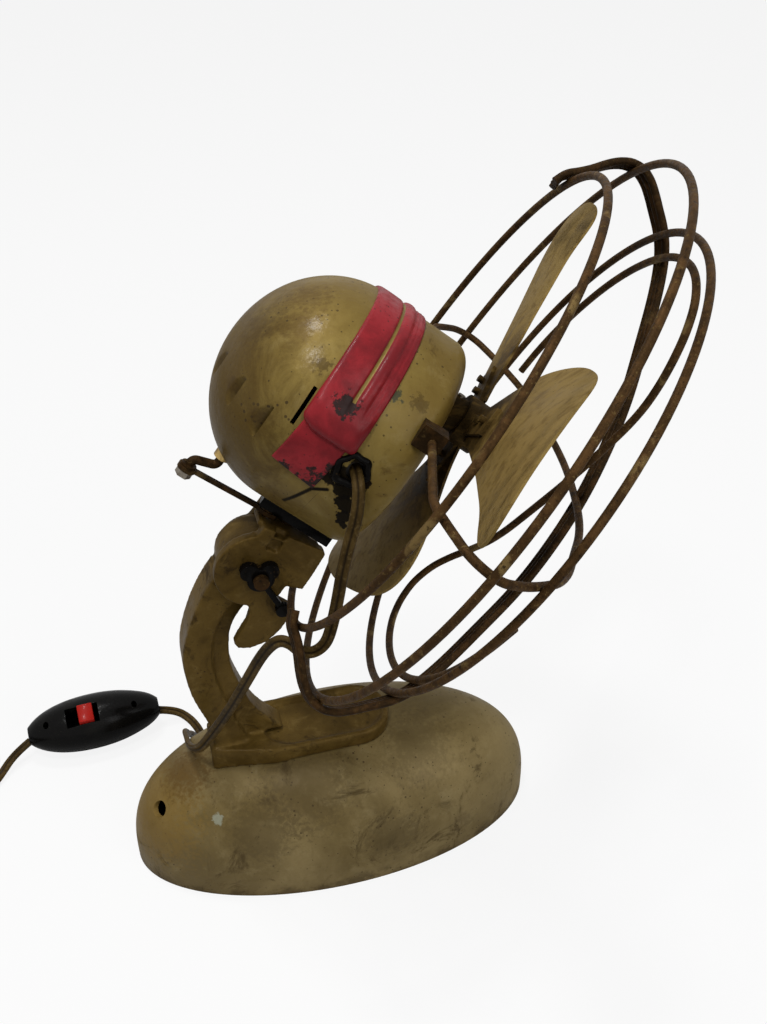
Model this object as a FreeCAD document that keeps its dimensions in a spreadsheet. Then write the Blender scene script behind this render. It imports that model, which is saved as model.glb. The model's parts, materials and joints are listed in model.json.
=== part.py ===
import FreeCAD, Part
import math
import os

# Oscillating desk fan: domed oval base, curved neck, clevis yoke with tilt bolt, swivelling
# motor head with three paddle blades, an open wire guard, flat twin cord and an in-line switch.
# Millimetres. +Z up, origin at the middle of the base's underside, +X the way the fan blows.

V = FreeCAD.Vector
Placement = FreeCAD.Placement
Rotation = FreeCAD.Rotation
doc = FreeCAD.newDocument("DeskFan")
sheet = doc.addObject("Spreadsheet::Sheet", "Sizes")

SIZES = [
    ("BaseHalfLength", 109.0), ("BaseHalfWidth", 50.0), ("BaseHeight", 70.0), ("BaseWall", 2.4),
    ("PlateThick", 2.0), ("FootRadius", 6.0), ("FootThick", 3.0), ("FlankHoleRadius", 4.2),
    ("PadHalfWidth", 18.0), ("PadTip", 30.0), ("PadRear", -64.0), ("PadRise", 8.0),
    ("PadRim", 3.2), ("PadDish", 2.6), ("PadScrewRadius", 2.2), ("PadScrewPitch", 34.0),
    ("PivotX", -32.7), ("PivotHeight", 189.4), ("TiltDown", 36.24),
    ("KnuckleRadius", 17.0), ("KnuckleHalf", 9.4), ("EarGap", 0.4), ("NearEar", 5.0),
    ("FarEar", 4.0), ("BoltRadius", 3.5), ("BoltFit", 0.06), ("NutHeight", 5.0),
    ("WasherThick", 1.0), ("LeverThick", 3.4), ("LeverReach", 22.0),
    ("BridgeLow", 17.8), ("BridgeTop", 23.3), ("SwivelX", 2.04), ("ShaftHeight", 106.6),
    ("HeadTurn", -19.65), ("PostRadius", 3.2), ("PostFit", 0.06), ("CollarWall", 1.6),
    ("CradleBottom", -79.0), ("CradleRear", -15.0), ("CradleFront", 20.0), ("CradleHalf", 12.0),
    ("BossWall", 3.4), ("ClipThick", 1.0),
    ("ShellRadius", 50.0), ("ShellDrop", 25.0), ("ShellRear", -65.0), ("ShellBreak", -20.0),
    ("ShellFront", 23.0), ("ShellCorner", 7.0), ("ShellWall", 1.6), ("SeamX", -3.5),
    ("BandThick", 1.2), ("BandRear", -23.0), ("BandSplit", -12.5), ("BandFront", -1.6),
    ("BandLow", -23.0), ("HoodThick", 3.2),
    ("ShaftRadius", 3.0), ("ShaftRear", -44.0), ("ShaftFit", 0.05), ("BushWall", 3.0),
    ("CoreRear", -12.0), ("CoreFront", 6.0), ("RotorRadius", 13.6), ("AirGap", 0.4),
    ("WormRadius", 4.0), ("WheelRadius", 5.4), ("CrankX", -39.5), ("CrankY", -9.5),
    ("CrankArm", 10.4), ("CrankRest", 196.7), ("CrankWire", 2.0), ("LinkLevel", 25.3),
    ("LinkThick", 2.0), ("AnchorX", -9.96), ("AnchorY", -3.6), ("AnchorRadius", 1.5),
    ("WireRadius", 1.7), ("RearRingX", 21.5), ("RearRingRadius", 110.5), ("RimX", 43.0),
    ("RimRadius", 131.0), ("FrontRingX", 67.0), ("FrontRingRadius", 114.5), ("ApexX", 101.0),
    ("HubRear", 25.0), ("HubStep", 34.0), ("HubFront", 46.0), ("CollarRadius", 8.0),
    ("HubRadius", 11.0), ("BladeTip", 111.5), ("BladeX", 39.8), ("BladeThick", 1.1),
    ("RootPitch", -5.1), ("TipPitch", -17.5), ("FirstBlade", -55.2), ("BladeCount", 3.0),
    ("BladeDish", 6.2), ("BladeLean", 2.2),
    ("RivetRadius", 1.6), ("RivetInner", 18.0), ("RivetOuter", 25.0),
    ("CordRadius", 2.4), ("SwitchLength", 75.6), ("SwitchRadius", 12.0),
    ("ButtonLength", 13.0), ("ButtonWidth", 8.0), ("CoilRadius", 26.0), ("CoilHeight", 15.0),
    ("PlugRadius", 11.0), ("PlugLength", 30.0), ("PinLength", 16.0), ("PinThick", 1.5),
]
for row, (alias, number) in enumerate(SIZES, 1):
    sheet.set("A%d" % row, alias)
    sheet.set("B%d" % row, repr(number))
    sheet.setAlias("B%d" % row, alias)
doc.recompute()


class Sheet:
    """The sheet's numbers by alias."""

    def __getattr__(self, alias):
        return float(sheet.get(alias))


S = Sheet()

# Frames: the yoke's own, the head's own on the shaft axis, and the spinning rotor's.
PIVOT = V(S.PivotX, 0, S.PivotHeight)
ROOT = Placement()
YOKE = Placement(PIVOT, Rotation(V(0, 1, 0), S.TiltDown))
HEAD = YOKE.multiply(Placement(V(S.SwivelX, 0, S.ShaftHeight), Rotation(V(0, 0, 1), S.HeadTurn)))
ALONG_X = Rotation(V(0, 1, 0), 90)
ALONG_Y = Rotation(V(1, 0, 0), -90)
NODES = []


def bind(obj, **props):
    """Bind each property to an expression over the sheet."""
    for prop, expr in props.items():
        if isinstance(expr, str):
            obj.setExpression(prop, expr)
        else:
            setattr(obj, prop, expr)
    return obj


def prim(kind, frame, at, turn=None, **props):
    """A Part primitive placed in one of the frames."""
    obj = doc.addObject("Part::" + kind, "p")
    bind(obj, **props)
    obj.Placement = frame.multiply(Placement(V(*at), turn or Rotation()))
    return obj


def cut(base, *tools):
    """One cut of the base by each tool in turn."""
    for tool in tools:
        obj = doc.addObject("Part::Cut", "c")
        obj.Base, obj.Tool = base, tool
        base = obj
    return base


def fuse(*shapes):
    """All shapes in one."""
    obj = doc.addObject("Part::MultiFuse", "f")
    obj.Shapes = list(shapes)
    obj.Refine = True
    return obj


def common(one, two):
    """What two objects share."""
    obj = doc.addObject("Part::Common", "m")
    obj.Base, obj.Tool = one, two
    return obj


def raw(shape, frame=ROOT):
    """A shape made here, then placed."""
    obj = doc.addObject("Part::Feature", "s")
    obj.Shape = shape
    obj.Placement = frame
    return obj


def node(obj, label):
    """Name a finished sub-part."""
    obj.Label = label
    NODES.append(obj)
    return obj


def pad(points, thick, frame, at, turn, round_at=()):
    """A PartDesign pad of a closed polygon, set on the body's XY plane."""
    body = doc.addObject("PartDesign::Body", "Body")
    sketch = body.newObject("Sketcher::SketchObject", "Outline")
    plane = [f for f in body.Origin.OriginFeatures if f.Role == "XY_Plane"][0]
    sketch.AttachmentSupport = [(plane, "")]
    sketch.MapMode = "FlatFace"
    ring = [V(x, y, 0) for x, y in points]
    for a, b in zip(ring, ring[1:] + ring[:1]):
        sketch.addGeometry(Part.LineSegment(a, b), False)
    solid = body.newObject("PartDesign::Pad", "Pad")
    solid.Profile = sketch
    solid.setExpression("Length", thick)
    body.Tip = solid
    body.Placement = frame.multiply(Placement(V(*at), turn))
    return body


def tube(points, radius, arc=None, closed=False):
    """A round wire along straight runs joined by tangent arcs."""
    pts = [V(*q) for q in points]
    edges, here, radii = [], pts[0], []
    for i in range(1, len(pts) - 1):
        a, b = pts[i - 1] - pts[i], pts[i + 1] - pts[i]
        turn = math.pi - a.getAngle(b)
        short = min(a.Length, b.Length)
        bend = 0.45 * short / math.tan(turn / 2)
        if arc:
            bend = min(bend, arc)
        setback = bend * math.tan(turn / 2)
        a.normalize()
        b.normalize()
        start, end = pts[i] + a * setback, pts[i] + b * setback
        mid_dir = a + b
        mid_dir.normalize()
        centre = pts[i] + mid_dir * (bend / math.cos(turn / 2))
        middle = centre - mid_dir * bend
        edges += [Part.LineSegment(here, start).toShape(), Part.Arc(start, middle, end).toShape()]
        here = end
        radii.append(bend)
    edges.append(Part.LineSegment(here, pts[-1]).toShape())
    path = Part.Wire(edges)
    ring = Part.Wire(Part.makeCircle(radius, pts[0], pts[1] - pts[0]))
    solid = path.makePipeShell([ring], True, True)
    return solid, path.Length, radii


def bent_wire(points, radius, count=36):
    """A round wire along a smooth line through the points, as short runs and tangent arcs."""
    curve = Part.BSplineCurve()
    curve.interpolate([V(*q) for q in points])
    line = [(q.x, q.y, q.z) for q in curve.discretize(Number=count)]
    return tube(line, radius)[0]


def to_world(frame, q):
    """A point of a frame in the model's frame."""
    w = frame.multVec(V(*q))
    return (w.x, w.y, w.z)


# ---- base ------------------------------------------------------------------------------------
def dome(length, width, height, low=0.0):
    """A domed oval solid: a cubic-rounded profile spun round, then stretched to the oval."""
    curve = Part.BSplineCurve()
    steps = 24
    line = []
    for i in range(steps + 1):
        a = math.pi / 2 * i / steps
        line.append(V(math.cos(a) ** (2 / 3.0), 0, height * math.sin(a) ** (2 / 3.0)))
    line[-1] = V(0, 0, height)
    curve.interpolate(Points=line, InitialTangent=V(0, 0, 1), FinalTangent=V(-1, 0, 0))
    face = Part.Face(Part.Wire([curve.toShape(), Part.makeLine(V(0, 0, height), V(0, 0, low)),
                                Part.makeLine(V(0, 0, low), V(1, 0, low))]))
    spun = face.revolve(V(0, 0, 0), V(0, 0, 1), 360)
    stretch = FreeCAD.Matrix()
    stretch.scale(length, width, 1)
    return spun.transformGeometry(stretch)


def dome_height(x, y):
    """The dome's outside height over a point of the base."""
    ring = math.hypot(x / S.BaseHalfLength, y / S.BaseHalfWidth)
    return S.BaseHeight * (1 - min(ring, 1) ** 3) ** (1 / 3.0)


outer_dome = raw(dome(S.BaseHalfLength, S.BaseHalfWidth, S.BaseHeight))
inner_dome = raw(dome(S.BaseHalfLength - S.BaseWall, S.BaseHalfWidth - S.BaseWall,
                      S.BaseHeight - S.BaseWall, 0.0))
hole_x, hole_y = -0.863 * S.BaseHalfLength, -0.25 * S.BaseHalfWidth
hole_z = dome_height(hole_x, hole_y)
flank_dir = V(-1.0, -0.45, 0.25)
flank_hole = prim("Cylinder", ROOT, (hole_x + 14, hole_y + 6.3, hole_z - 3.5),
                  Rotation(V(0, 0, 1), flank_dir), Radius="Sizes.FlankHoleRadius", Height=40)
pad_screws_x = (-S.PadScrewPitch / 2 - 22, S.PadScrewPitch / 2 - 22)
screw_holes = [prim("Cylinder", ROOT, (x, 0, 0), Radius="Sizes.PadScrewRadius",
                    Height="Sizes.BaseHeight + Sizes.PadRise") for x in pad_screws_x]
shell_part = cut(outer_dome, inner_dome, flank_hole, *screw_holes)

plate_in = S.BaseWall + 0.4
under = raw(Part.makeCylinder(1, S.PlateThick))
oval = FreeCAD.Matrix()
oval.scale(S.BaseHalfLength - plate_in, S.BaseHalfWidth - plate_in, 1)
floor_plate = raw(under.Shape.transformGeometry(oval))
doc.removeObject(under.Name)
foot_spots = [(sx * 0.68 * S.BaseHalfLength, sy * 0.44 * S.BaseHalfWidth)
              for sx in (-1, 1) for sy in (-1, 1)] + [(0.0, 0.0)]
# Four feet and a middle pad are set in the plate, level with the rim that stands on the table.
foot_holes = [prim("Cylinder", ROOT, (x, y, -1), Radius="Sizes.FootRadius", Height=20)
              for x, y in foot_spots]
plate_holes = [prim("Cylinder", ROOT, (x, 0, -1), Radius=1.6, Height=20) for x in (-30, 30)]
node(cut(floor_plate, *(foot_holes + plate_holes)), "base_plate")
node(fuse(*[prim("Cylinder", ROOT, (x, y, 0), Radius="Sizes.FootRadius",
                 Height="Sizes.FootThick") for x, y in foot_spots]), "base_feet")
posts = []
for x in (-30, 30):
    post_top = dome_height(34, 4) - 0.4 * S.BaseWall
    post = Part.makeCylinder(4, post_top - S.PlateThick, V(x, 0, S.PlateThick))
    posts.append(raw(post.cut(Part.makeCylinder(1.55, 14, V(x, 0, S.PlateThick)))))
node(fuse(shell_part, *posts), "base_shell")
plate_screws = [raw(Part.makeCylinder(1.5, 12.0, V(x, 0, 0.3))) for x in (-30, 30)]
node(fuse(*plate_screws), "base_screws")

# ---- neck: foot pad on the dome, curved channel arm and knuckle -------------------------------
PAD_TOP = S.BaseHeight + S.PadRise


def neck_point(x, share):
    """A point of the arm: x from the pivot's line, height as a share of foot to pivot."""
    return V(x + S.PivotX + 32.7, 0, PAD_TOP + share * (S.PivotHeight - PAD_TOP))


OUTSIDE = [(-62.0, 0.0), (-62.9, 0.13), (-66.0, 0.225), (-69.3, 0.33), (-70.7, 0.42),
           (-71.4, 0.51), (-70.2, 0.605), (-67.2, 0.70), (-63.4, 0.79), (-57.8, 0.89),
           (-51.0, 0.98)]
INSIDE = [(-26.0, 0.87), (-36.0, 0.80), (-43.5, 0.72), (-47.4, 0.64), (-48.6, 0.56),
          (-48.9, 0.47), (-47.2, 0.37), (-44.4, 0.28), (-40.0, 0.17), (-33.0, 0.07), (-26.0, 0.0)]
GROOVE = [(-40.5, 0.86), (-48.6, 0.78), (-54.0, 0.69), (-56.8, 0.60), (-57.6, 0.51),
          (-56.8, 0.41), (-54.6, 0.31), (-51.6, 0.20), (-48.0, 0.09), (-44.0, 0.0)]


def curve_edge(row):
    """A smooth edge through a row of arm points."""
    curve = Part.BSplineCurve()
    curve.interpolate([neck_point(x, z) for x, z in row])
    return curve.toShape()


def side_face(first, second):
    """The face between two edges of the arm, low end and high end closed by lines."""
    a, b = curve_edge(first), curve_edge(second)
    p = [neck_point(*q) for q in (first[0], first[-1], second[0], second[-1])]
    return Part.Face(Part.Wire([a, Part.makeLine(p[1], p[2]), b, Part.makeLine(p[3], p[0])]))


half = S.KnuckleHalf
arm_rear = side_face(OUTSIDE, GROOVE)
arm_rear.translate(V(0, -half + 1.6, 0))
arm_rear = arm_rear.extrude(V(0, 2 * half - 1.6, 0))
arm_front = side_face(GROOVE[::-1], INSIDE)
arm_front.translate(V(0, -half + 6, 0))
arm_front = arm_front.extrude(V(0, 2 * half - 6, 0))
knuckle = Part.makeCylinder(S.KnuckleRadius, 2 * half, PIVOT - V(0, half, 0), V(0, 1, 0))
pad_solid = Part.makeBox(S.PadTip - S.PadHalfWidth - S.PadRear, 2 * S.PadHalfWidth, 60,
                         V(S.PadRear, -S.PadHalfWidth, PAD_TOP - 60))
tip_x = S.PadTip - S.PadHalfWidth
pad_solid = pad_solid.fuse(Part.makeCylinder(S.PadHalfWidth, 60, V(tip_x, 0, PAD_TOP - 60)))
dish_half = S.PadHalfWidth - S.PadRim
dish = Part.makeBox(tip_x + 22, 2 * dish_half, S.PadDish + 1, V(-22, -dish_half, PAD_TOP - S.PadDish))
dish = dish.fuse(Part.makeCylinder(dish_half, S.PadDish + 1, V(tip_x, 0, PAD_TOP - S.PadDish)))
dish = dish.fuse(Part.makeCylinder(dish_half, S.PadDish + 1, V(-22, 0, PAD_TOP - S.PadDish)))
# The pad narrows into the arm's foot behind its dish.
for side in (-1, 1):
    corner = [V(S.PadRear - 2, side * (half + 0.5), 0), V(-34, side * (S.PadHalfWidth + 0.01), 0),
              V(S.PadRear - 2, side * (S.PadHalfWidth + 9), 0)]
    prism = Part.Face(Part.makePolygon(corner + corner[:1])).extrude(V(0, 0, 200))
    pad_solid = pad_solid.cut(prism)
pad_solid = pad_solid.cut(dish)
yoke_bolt_hole = Part.makeCylinder(S.BoltRadius + S.BoltFit, 60, PIVOT - V(0, 30, 0), V(0, 1, 0))
pad_solid = pad_solid.fuse([arm_rear, arm_front, knuckle]).removeSplitter()
pad_solid = pad_solid.cut(dome(S.BaseHalfLength, S.BaseHalfWidth, S.BaseHeight))
pad_solid = pad_solid.cut(yoke_bolt_hole)
for x in pad_screws_x:
    pad_solid = pad_solid.cut(Part.makeCylinder(S.PadScrewRadius - 0.05, PAD_TOP - 3.5, V(x, 0, 0)))
node(raw(pad_solid), "neck_arm")
neck_screws = []
for x in pad_screws_x:
    roof = S.BaseHeight * (1 - (abs(x) / S.BaseHalfLength) ** 3) ** (1 / 3.0) - S.BaseWall
    shank = Part.makeCylinder(S.PadScrewRadius - 0.1, PAD_TOP - 4 - roof + 2, V(x, 0, roof - 2))
    neck_screws.append(raw(shank.fuse(Part.makeCylinder(4.2, 3, V(x, 0, roof - 6)))
                           .fuse(Part.makeCylinder(3, 3.5, V(x, 0, roof - 4)))))
node(fuse(*neck_screws), "neck_screws")

# ---- tilt yoke: near ear with its cut-out plate, far ear and bridge ----------------------------
NEAR = -S.KnuckleHalf - S.EarGap
FAR = S.KnuckleHalf + S.EarGap
EAR = [(-12.0, 15.0), (-11.7, 23.3), (-5.8, 23.3), (-5.4, 15.4), (-2.2, 13.4), (0.6, 15.4),
       (0.8, 23.3), (19.8, 23.3), (21.2, 21.8), (22.4, 9.0), (22.6, 1.0), (14.8, -0.6),
       (14.4, -8.6), (26.2, -10.0), (26.4, -23.0), (24.6, -32.0), (19.3, -38.6), (14.1, -40.8),
       (10.9, -39.2), (10.2, -33.8), (9.6, -26.2), (7.4, -19.5), (3.0, -16.0)]
ear_turn = Rotation(V(1, 0, 0), 90)
near_plate = pad(EAR, "Sizes.NearEar", YOKE, (0, NEAR, 0), ear_turn)
lobe_at = (-1.6, NEAR, 1.2)
near_lobe = prim("Cylinder", YOKE, lobe_at, ear_turn, Radius="Sizes.KnuckleRadius + 2.4",
                 Height="Sizes.NearEar")
far_lobe = prim("Cylinder", YOKE, (0, FAR, 0), ALONG_Y, Radius="Sizes.KnuckleRadius - 3",
                Height="Sizes.FarEar")
far_web = pad([(-8, 0), (-8, S.BridgeTop), (14, S.BridgeTop), (13, 0)], "Sizes.FarEar", YOKE,
              (0, FAR + S.FarEar, 0), ear_turn)
bridge = prim("Box", YOKE, (-8, NEAR - 0.5, S.BridgeLow), Length=26,
              Width="2 * (Sizes.KnuckleHalf + Sizes.EarGap) + 1",
              Height="Sizes.BridgeTop - Sizes.BridgeLow")
left_shelf = prim("Box", YOKE, (-13.4, NEAR - 0.5, S.BridgeTop - 3), Length=9,
                  Width="Sizes.KnuckleHalf + Sizes.EarGap + 1", Height=3)
bolt_bore = prim("Cylinder", YOKE, (0, -40, 0), ALONG_Y, Radius="Sizes.BoltRadius + Sizes.BoltFit",
                 Height=80)
post_hole = prim("Cylinder", YOKE, (S.SwivelX, 0, 0), Radius="Sizes.PostRadius", Height=40)
anchor_hole = prim("Cylinder", YOKE, (S.AnchorX, S.AnchorY, 0), Radius="Sizes.AnchorRadius",
                   Height=40)
slot_cut = prim("Box", YOKE, (-5.6, NEAR - 10, 13.6), Length=6.2, Width=7.5, Height=6)
yoke_raw = fuse(near_plate, near_lobe, far_lobe, far_web, bridge, left_shelf)
ring_notch = prim("Box", YOKE, (14.6, NEAR - S.NearEar - 1, -8.8), Length=20,
                  Width="Sizes.NearEar + 2", Height=8.4)
node(cut(yoke_raw, bolt_bore, post_hole, anchor_hole, slot_cut, ring_notch), "tilt_yoke")

bolt_near = NEAR - S.NearEar - S.LeverThick - 3
bolt_far = FAR + S.FarEar + S.NutHeight + S.WasherThick + 2
node(raw(Part.makeCylinder(S.BoltRadius, bolt_far - bolt_near, V(0, bolt_near, 0), V(0, 1, 0)),
         YOKE), "tilt_bolt")
node(cut(prim("Cylinder", YOKE, (0, FAR + S.FarEar, 0), ALONG_Y, Radius=7.5,
              Height="Sizes.WasherThick"), bolt_bore), "tilt_washer")
hexagon = [(6.2 * math.cos(math.radians(60 * i + 10)), 6.2 * math.sin(math.radians(60 * i + 10)))
           for i in range(6)]
nut_raw = pad(hexagon, "Sizes.NutHeight", YOKE,
              (0, FAR + S.FarEar + S.WasherThick + S.NutHeight, 0), ear_turn)
nut_bore = prim("Cylinder", YOKE, (0, -40, 0), ALONG_Y, Radius="Sizes.BoltRadius", Height=80)
node(cut(nut_raw, nut_bore), "tilt_nut")
# Clamp lever: a threaded eye with two short lobes and one long tail that ends in a thumb pad.
tail = math.radians(-30)
tail_end = (S.LeverReach * math.cos(tail), S.LeverReach * math.sin(tail))
lever_y = NEAR - S.NearEar - 0.4
lever = prim("Cylinder", YOKE, (0, lever_y, 0), ear_turn, Radius="Sizes.BoltRadius + 2.6",
             Height="Sizes.LeverThick")
tail_rod = prim("Box", YOKE, (0, lever_y - S.LeverThick + 0.6, 0), Rotation(V(0, 1, 0), 30),
                Length="Sizes.LeverReach", Width="Sizes.LeverThick - 1.2", Height=2.6)
tail_rod.Placement = tail_rod.Placement.multiply(Placement(V(0, 0, -1.3), Rotation()))
thumb = prim("Cylinder", YOKE, (tail_end[0], lever_y, tail_end[1]), ear_turn, Radius=3.3,
             Height="Sizes.LeverThick")
lobes = [prim("Cylinder", YOKE, (q[0], lever_y, q[1]), ear_turn, Radius=4.2,
              Height="Sizes.LeverThick") for q in ((-6.6, 1.2), (1.4, 5.4))]
node(cut(fuse(lever, tail_rod, thumb, *lobes), bolt_bore), "clamp_lever")

# Swivel post with its spacing collar, and the oscillator's anchor pin beside it.
CRADLE = S.ShaftHeight + S.CradleBottom
post_top = S.ShaftHeight - 66.0
post_stock = Part.makeCylinder(S.PostRadius, post_top - S.BridgeLow, V(0, 0, S.BridgeLow))
node(raw(post_stock, YOKE.multiply(Placement(V(S.SwivelX, 0, 0), Rotation()))), "swivel_post")
collar = Part.makeCylinder(S.PostRadius + S.CollarWall, CRADLE - 0.1 - S.BridgeTop,
                           V(S.SwivelX, 0, S.BridgeTop))
collar = collar.cut(Part.makeCylinder(S.PostRadius, 40, V(S.SwivelX, 0, 0)))
node(raw(collar, YOKE), "thrust_collar")
clip_low = S.ShaftHeight - 67.9
clip = Part.makeCylinder(S.PostRadius + 2.6, S.ClipThick, V(S.SwivelX, 0, clip_low))
clip = clip.cut(Part.makeCylinder(S.PostRadius, 90, V(S.SwivelX, 0, 0)))
node(raw(clip, YOKE), "post_clip")
pin_top = CRADLE - 0.5
pin = Part.makeCylinder(S.AnchorRadius, pin_top - S.BridgeTop + 3, V(0, 0, S.BridgeTop - 3))
pin = pin.fuse(Part.makeCylinder(3.5, pin_top - S.LinkLevel - S.LinkThick / 2 - 0.2,
                                 V(0, 0, S.LinkLevel + S.LinkThick / 2 + 0.2)))
node(raw(pin, YOKE.multiply(Placement(V(S.AnchorX, S.AnchorY, 0), Rotation()))), "anchor_pin")

# ---- motor head ------------------------------------------------------------------------------
AXIS_DOWN = V(0, 0, -S.ShellDrop)


def shell_profile(grow, front):
    """Half outline of the egg-shaped housing, measured from its own axis."""
    r, rear, br = S.ShellRadius + grow, S.ShellRear - grow, S.ShellBreak
    corner = S.ShellCorner + grow
    pts = []
    steps = 16
    for i in range(steps + 1):
        a = math.pi / 2 * i / steps
        pts.append(V(br + (rear - br) * math.cos(a), 0, r * math.sin(a)))
    curve = Part.BSplineCurve()
    curve.interpolate(Points=pts, InitialTangent=V(0, 0, 1), FinalTangent=V(1, 0, 0))
    c = front - corner
    diag = corner * math.sqrt(0.5)
    wall = Part.makeLine(V(br, 0, r), V(c, 0, r))
    bend = Part.Arc(V(c, 0, r), V(c + diag, 0, r - corner + diag), V(front, 0, r - corner)).toShape()
    face = Part.makeLine(V(front, 0, r - corner), V(front, 0, 0))
    back = Part.makeLine(V(front, 0, 0), V(rear, 0, 0))
    return Part.Face(Part.Wire([curve.toShape(), wall, bend, face, back]))


def shell_solid(grow):
    """The housing's outside grown by some millimetres, in the head frame."""
    solid = shell_profile(grow, S.ShellFront + grow).revolve(V(0, 0, 0), V(1, 0, 0), 360)
    solid.translate(AXIS_DOWN)
    return solid


def slab(x0, x1):
    """All of the head between two planes across the shaft."""
    return Part.makeBox(x1 - x0, 400, 400, V(x0, -200, -200))


outer, inner = shell_solid(0), shell_solid(-S.ShellWall)
shell = outer.cut(inner)
boss_r = S.PostRadius + S.BossWall
shell = shell.cut(Part.makeCylinder(boss_r, 30, V(0, 0, -85)))
cradle_screw_x = S.CradleFront - 7
for y in (-7, 7):
    shell = shell.cut(Part.makeCylinder(1.5, 30, V(cradle_screw_x, y, -85)))
crank_bush_r = S.CrankWire + 1.8
crank_bush = Part.makeCylinder(crank_bush_r, 60, V(S.CrankX, S.CrankY, -90))
rear = shell.common(slab(-100, S.SeamX)).cut(crank_bush)
# Cooling louvres: three slots on each side of the rear shell.
for side in (-1, 1):
    for x, z in ((-51, -24), (-41, -28), (-30, -31)):
        slot = Part.makeBox(3.0, 40, 10, V(x - 1.5, -20, z - 5))
        slot.translate(V(0, side * 42, 0))
        slot.rotate(V(x, 0, z), V(0, 1, 0), 30)
        rear = rear.cut(slot)
cord_exit = (1.5, -44.0, -27.5)
grommet_dir = V(0.35, -1.0, -0.05)
exit_bore = Part.makeCylinder(S.CordRadius + 2.0, 24, V(*cord_exit) - grommet_dir * 10, grommet_dir)
front = shell.common(slab(S.SeamX + 0.05, 100)).cut(exit_bore)
bush_r = S.ShaftRadius + S.ShaftFit + S.BushWall
front = front.cut(Part.makeCylinder(bush_r, 40, V(0, 0, 0), V(1, 0, 0)))
node(raw(rear, HEAD), "rear_housing")
node(raw(front, HEAD), "front_housing")


def band(x0, x1, r0, r1):
    """A ring round the housing's axis, open below the band's lower edge."""
    ring = Part.makeCylinder(r1, x1 - x0, AXIS_DOWN + V(x0, 0, 0), V(1, 0, 0))
    return ring.cut(Part.makeCylinder(r0, x1 - x0, AXIS_DOWN + V(x0, 0, 0), V(1, 0, 0)))


keep = Part.makeBox(200, 400, 200, V(-100, -200, S.BandLow))
r_in, r_out = S.ShellRadius + 0.02, S.ShellRadius + S.BandThick
# The rear band begins where the egg starts to fall away, so it is cut to the housing.
rear_band = band(S.BandRear, S.BandSplit, r_in - 1.4, r_out).common(keep).cut(shell_solid(0.02))
low_keep = Part.makeBox(200, 200, 12, V(-100, -200, S.BandLow))
hood = band(S.BandRear - 2, S.BandSplit + 1.5, r_out - 0.4, r_out + S.HoodThick).common(low_keep)
hood_cut = band(S.BandRear - 3, S.BandSplit - 1, r_out - 0.5, r_out + S.HoodThick - 1.1)
hood_cut = hood_cut.common(Part.makeBox(200, 200, 9, V(-100, -200, S.BandLow - 1)))
front_band = band(S.BandSplit + 1.8, S.BandFront, r_in, r_out).common(keep)
ridge = band(S.BandFront - 4.6, S.BandFront - 1, r_out - 0.3, r_out + 0.8).common(keep)
hood = hood.cut(hood_cut).cut(shell_solid(0.02))
node(raw(rear_band.fuse(hood).removeSplitter(), HEAD), "red_band_rear")
node(raw(front_band.fuse(ridge).removeSplitter().cut(hood).cut(rear_band), HEAD), "red_band_front")

# Cradle under the housing: a saddle bar with the swivel boss.
bar = Part.makeBox(S.CradleFront - S.CradleRear, 2 * S.CradleHalf, 12,
                   V(S.CradleRear, -S.CradleHalf, S.CradleBottom))
bar = bar.cut(shell_solid(0))
boss = Part.makeCylinder(boss_r, -68.0 - S.CradleBottom, V(0, 0, S.CradleBottom))
cradle = bar.fuse(boss).removeSplitter()
cradle = cradle.cut(Part.makeCylinder(S.PostRadius + S.PostFit, 60, V(0, 0, -100)))
for y in (-7, 7):
    cradle = cradle.cut(Part.makeCylinder(1.5, 40, V(cradle_screw_x, y, -100)))
node(raw(cradle, HEAD), "motor_cradle")
cradle_screws = [Part.makeCylinder(1.45, 9, V(cradle_screw_x, y, S.CradleBottom - 0.5))
                 .fuse(Part.makeCylinder(2.8, 1.3, V(cradle_screw_x, y, S.CradleBottom - 1.3)))
                 for y in (-7, 7)]
node(raw(cradle_screws[0].fuse(cradle_screws[1]), HEAD), "cradle_screws")

# Motor: laminated C-frame with the coil below, rotor, bearings, worm drive for the oscillator.
CORE = [(-18, 17), (18, 17), (26, 2), (26, -60), (-26, -60), (-26, 2)]
core = Part.Face(Part.makePolygon([V(S.CoreRear, y, z) for y, z in CORE + CORE[:1]]))
core = core.extrude(V(S.CoreFront - S.CoreRear, 0, 0))
core = core.cut(Part.makeBox(80, 35, 27, V(-40, -17.5, -45)))
core = core.cut(Part.makeCylinder(S.RotorRadius + S.AirGap, 80, V(-40, 0, 0), V(1, 0, 0)))
coil = Part.makeBox(S.CoreFront - S.CoreRear + 14, 33, 29, V(S.CoreRear - 7, -16.5, -67.5))
coil = coil.cut(Part.makeBox(S.CoreFront - S.CoreRear + 0.2, 60, 15.2,
                             V(S.CoreRear - 0.1, -30, -60.1)))
coil_round = [e for e in coil.Edges if abs(e.Length - 33) < 0.01
              and abs(abs(e.CenterOfMass.x - (S.CoreFront + S.CoreRear) / 2)
                      - (S.CoreFront - S.CoreRear + 14) / 2) < 0.1]
coil = coil.makeFillet(4, coil_round)
coil = coil.cut(Part.makeCylinder(boss_r + 0.4, 30, V(0, 0, -96)))
node(raw(coil, HEAD), "stator_coil")
for y in (-1, 1):
    lug = Part.makeBox(S.CoreFront - S.CoreRear, 60, 5, V(S.CoreRear, 26 if y > 0 else -86, -40))
    core = core.fuse(lug.common(shell_solid(-S.ShellWall)))
node(raw(core.removeSplitter(), HEAD), "stator_core")
node(cut(prim("Cylinder", HEAD, (S.CoreRear, 0, 0), ALONG_X, Radius="Sizes.RotorRadius",
              Height="Sizes.CoreFront - Sizes.CoreRear"),
         prim("Cylinder", HEAD, (S.CoreRear - 1, 0, 0), ALONG_X, Radius="Sizes.ShaftRadius",
              Height=60)), "rotor_core")
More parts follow.
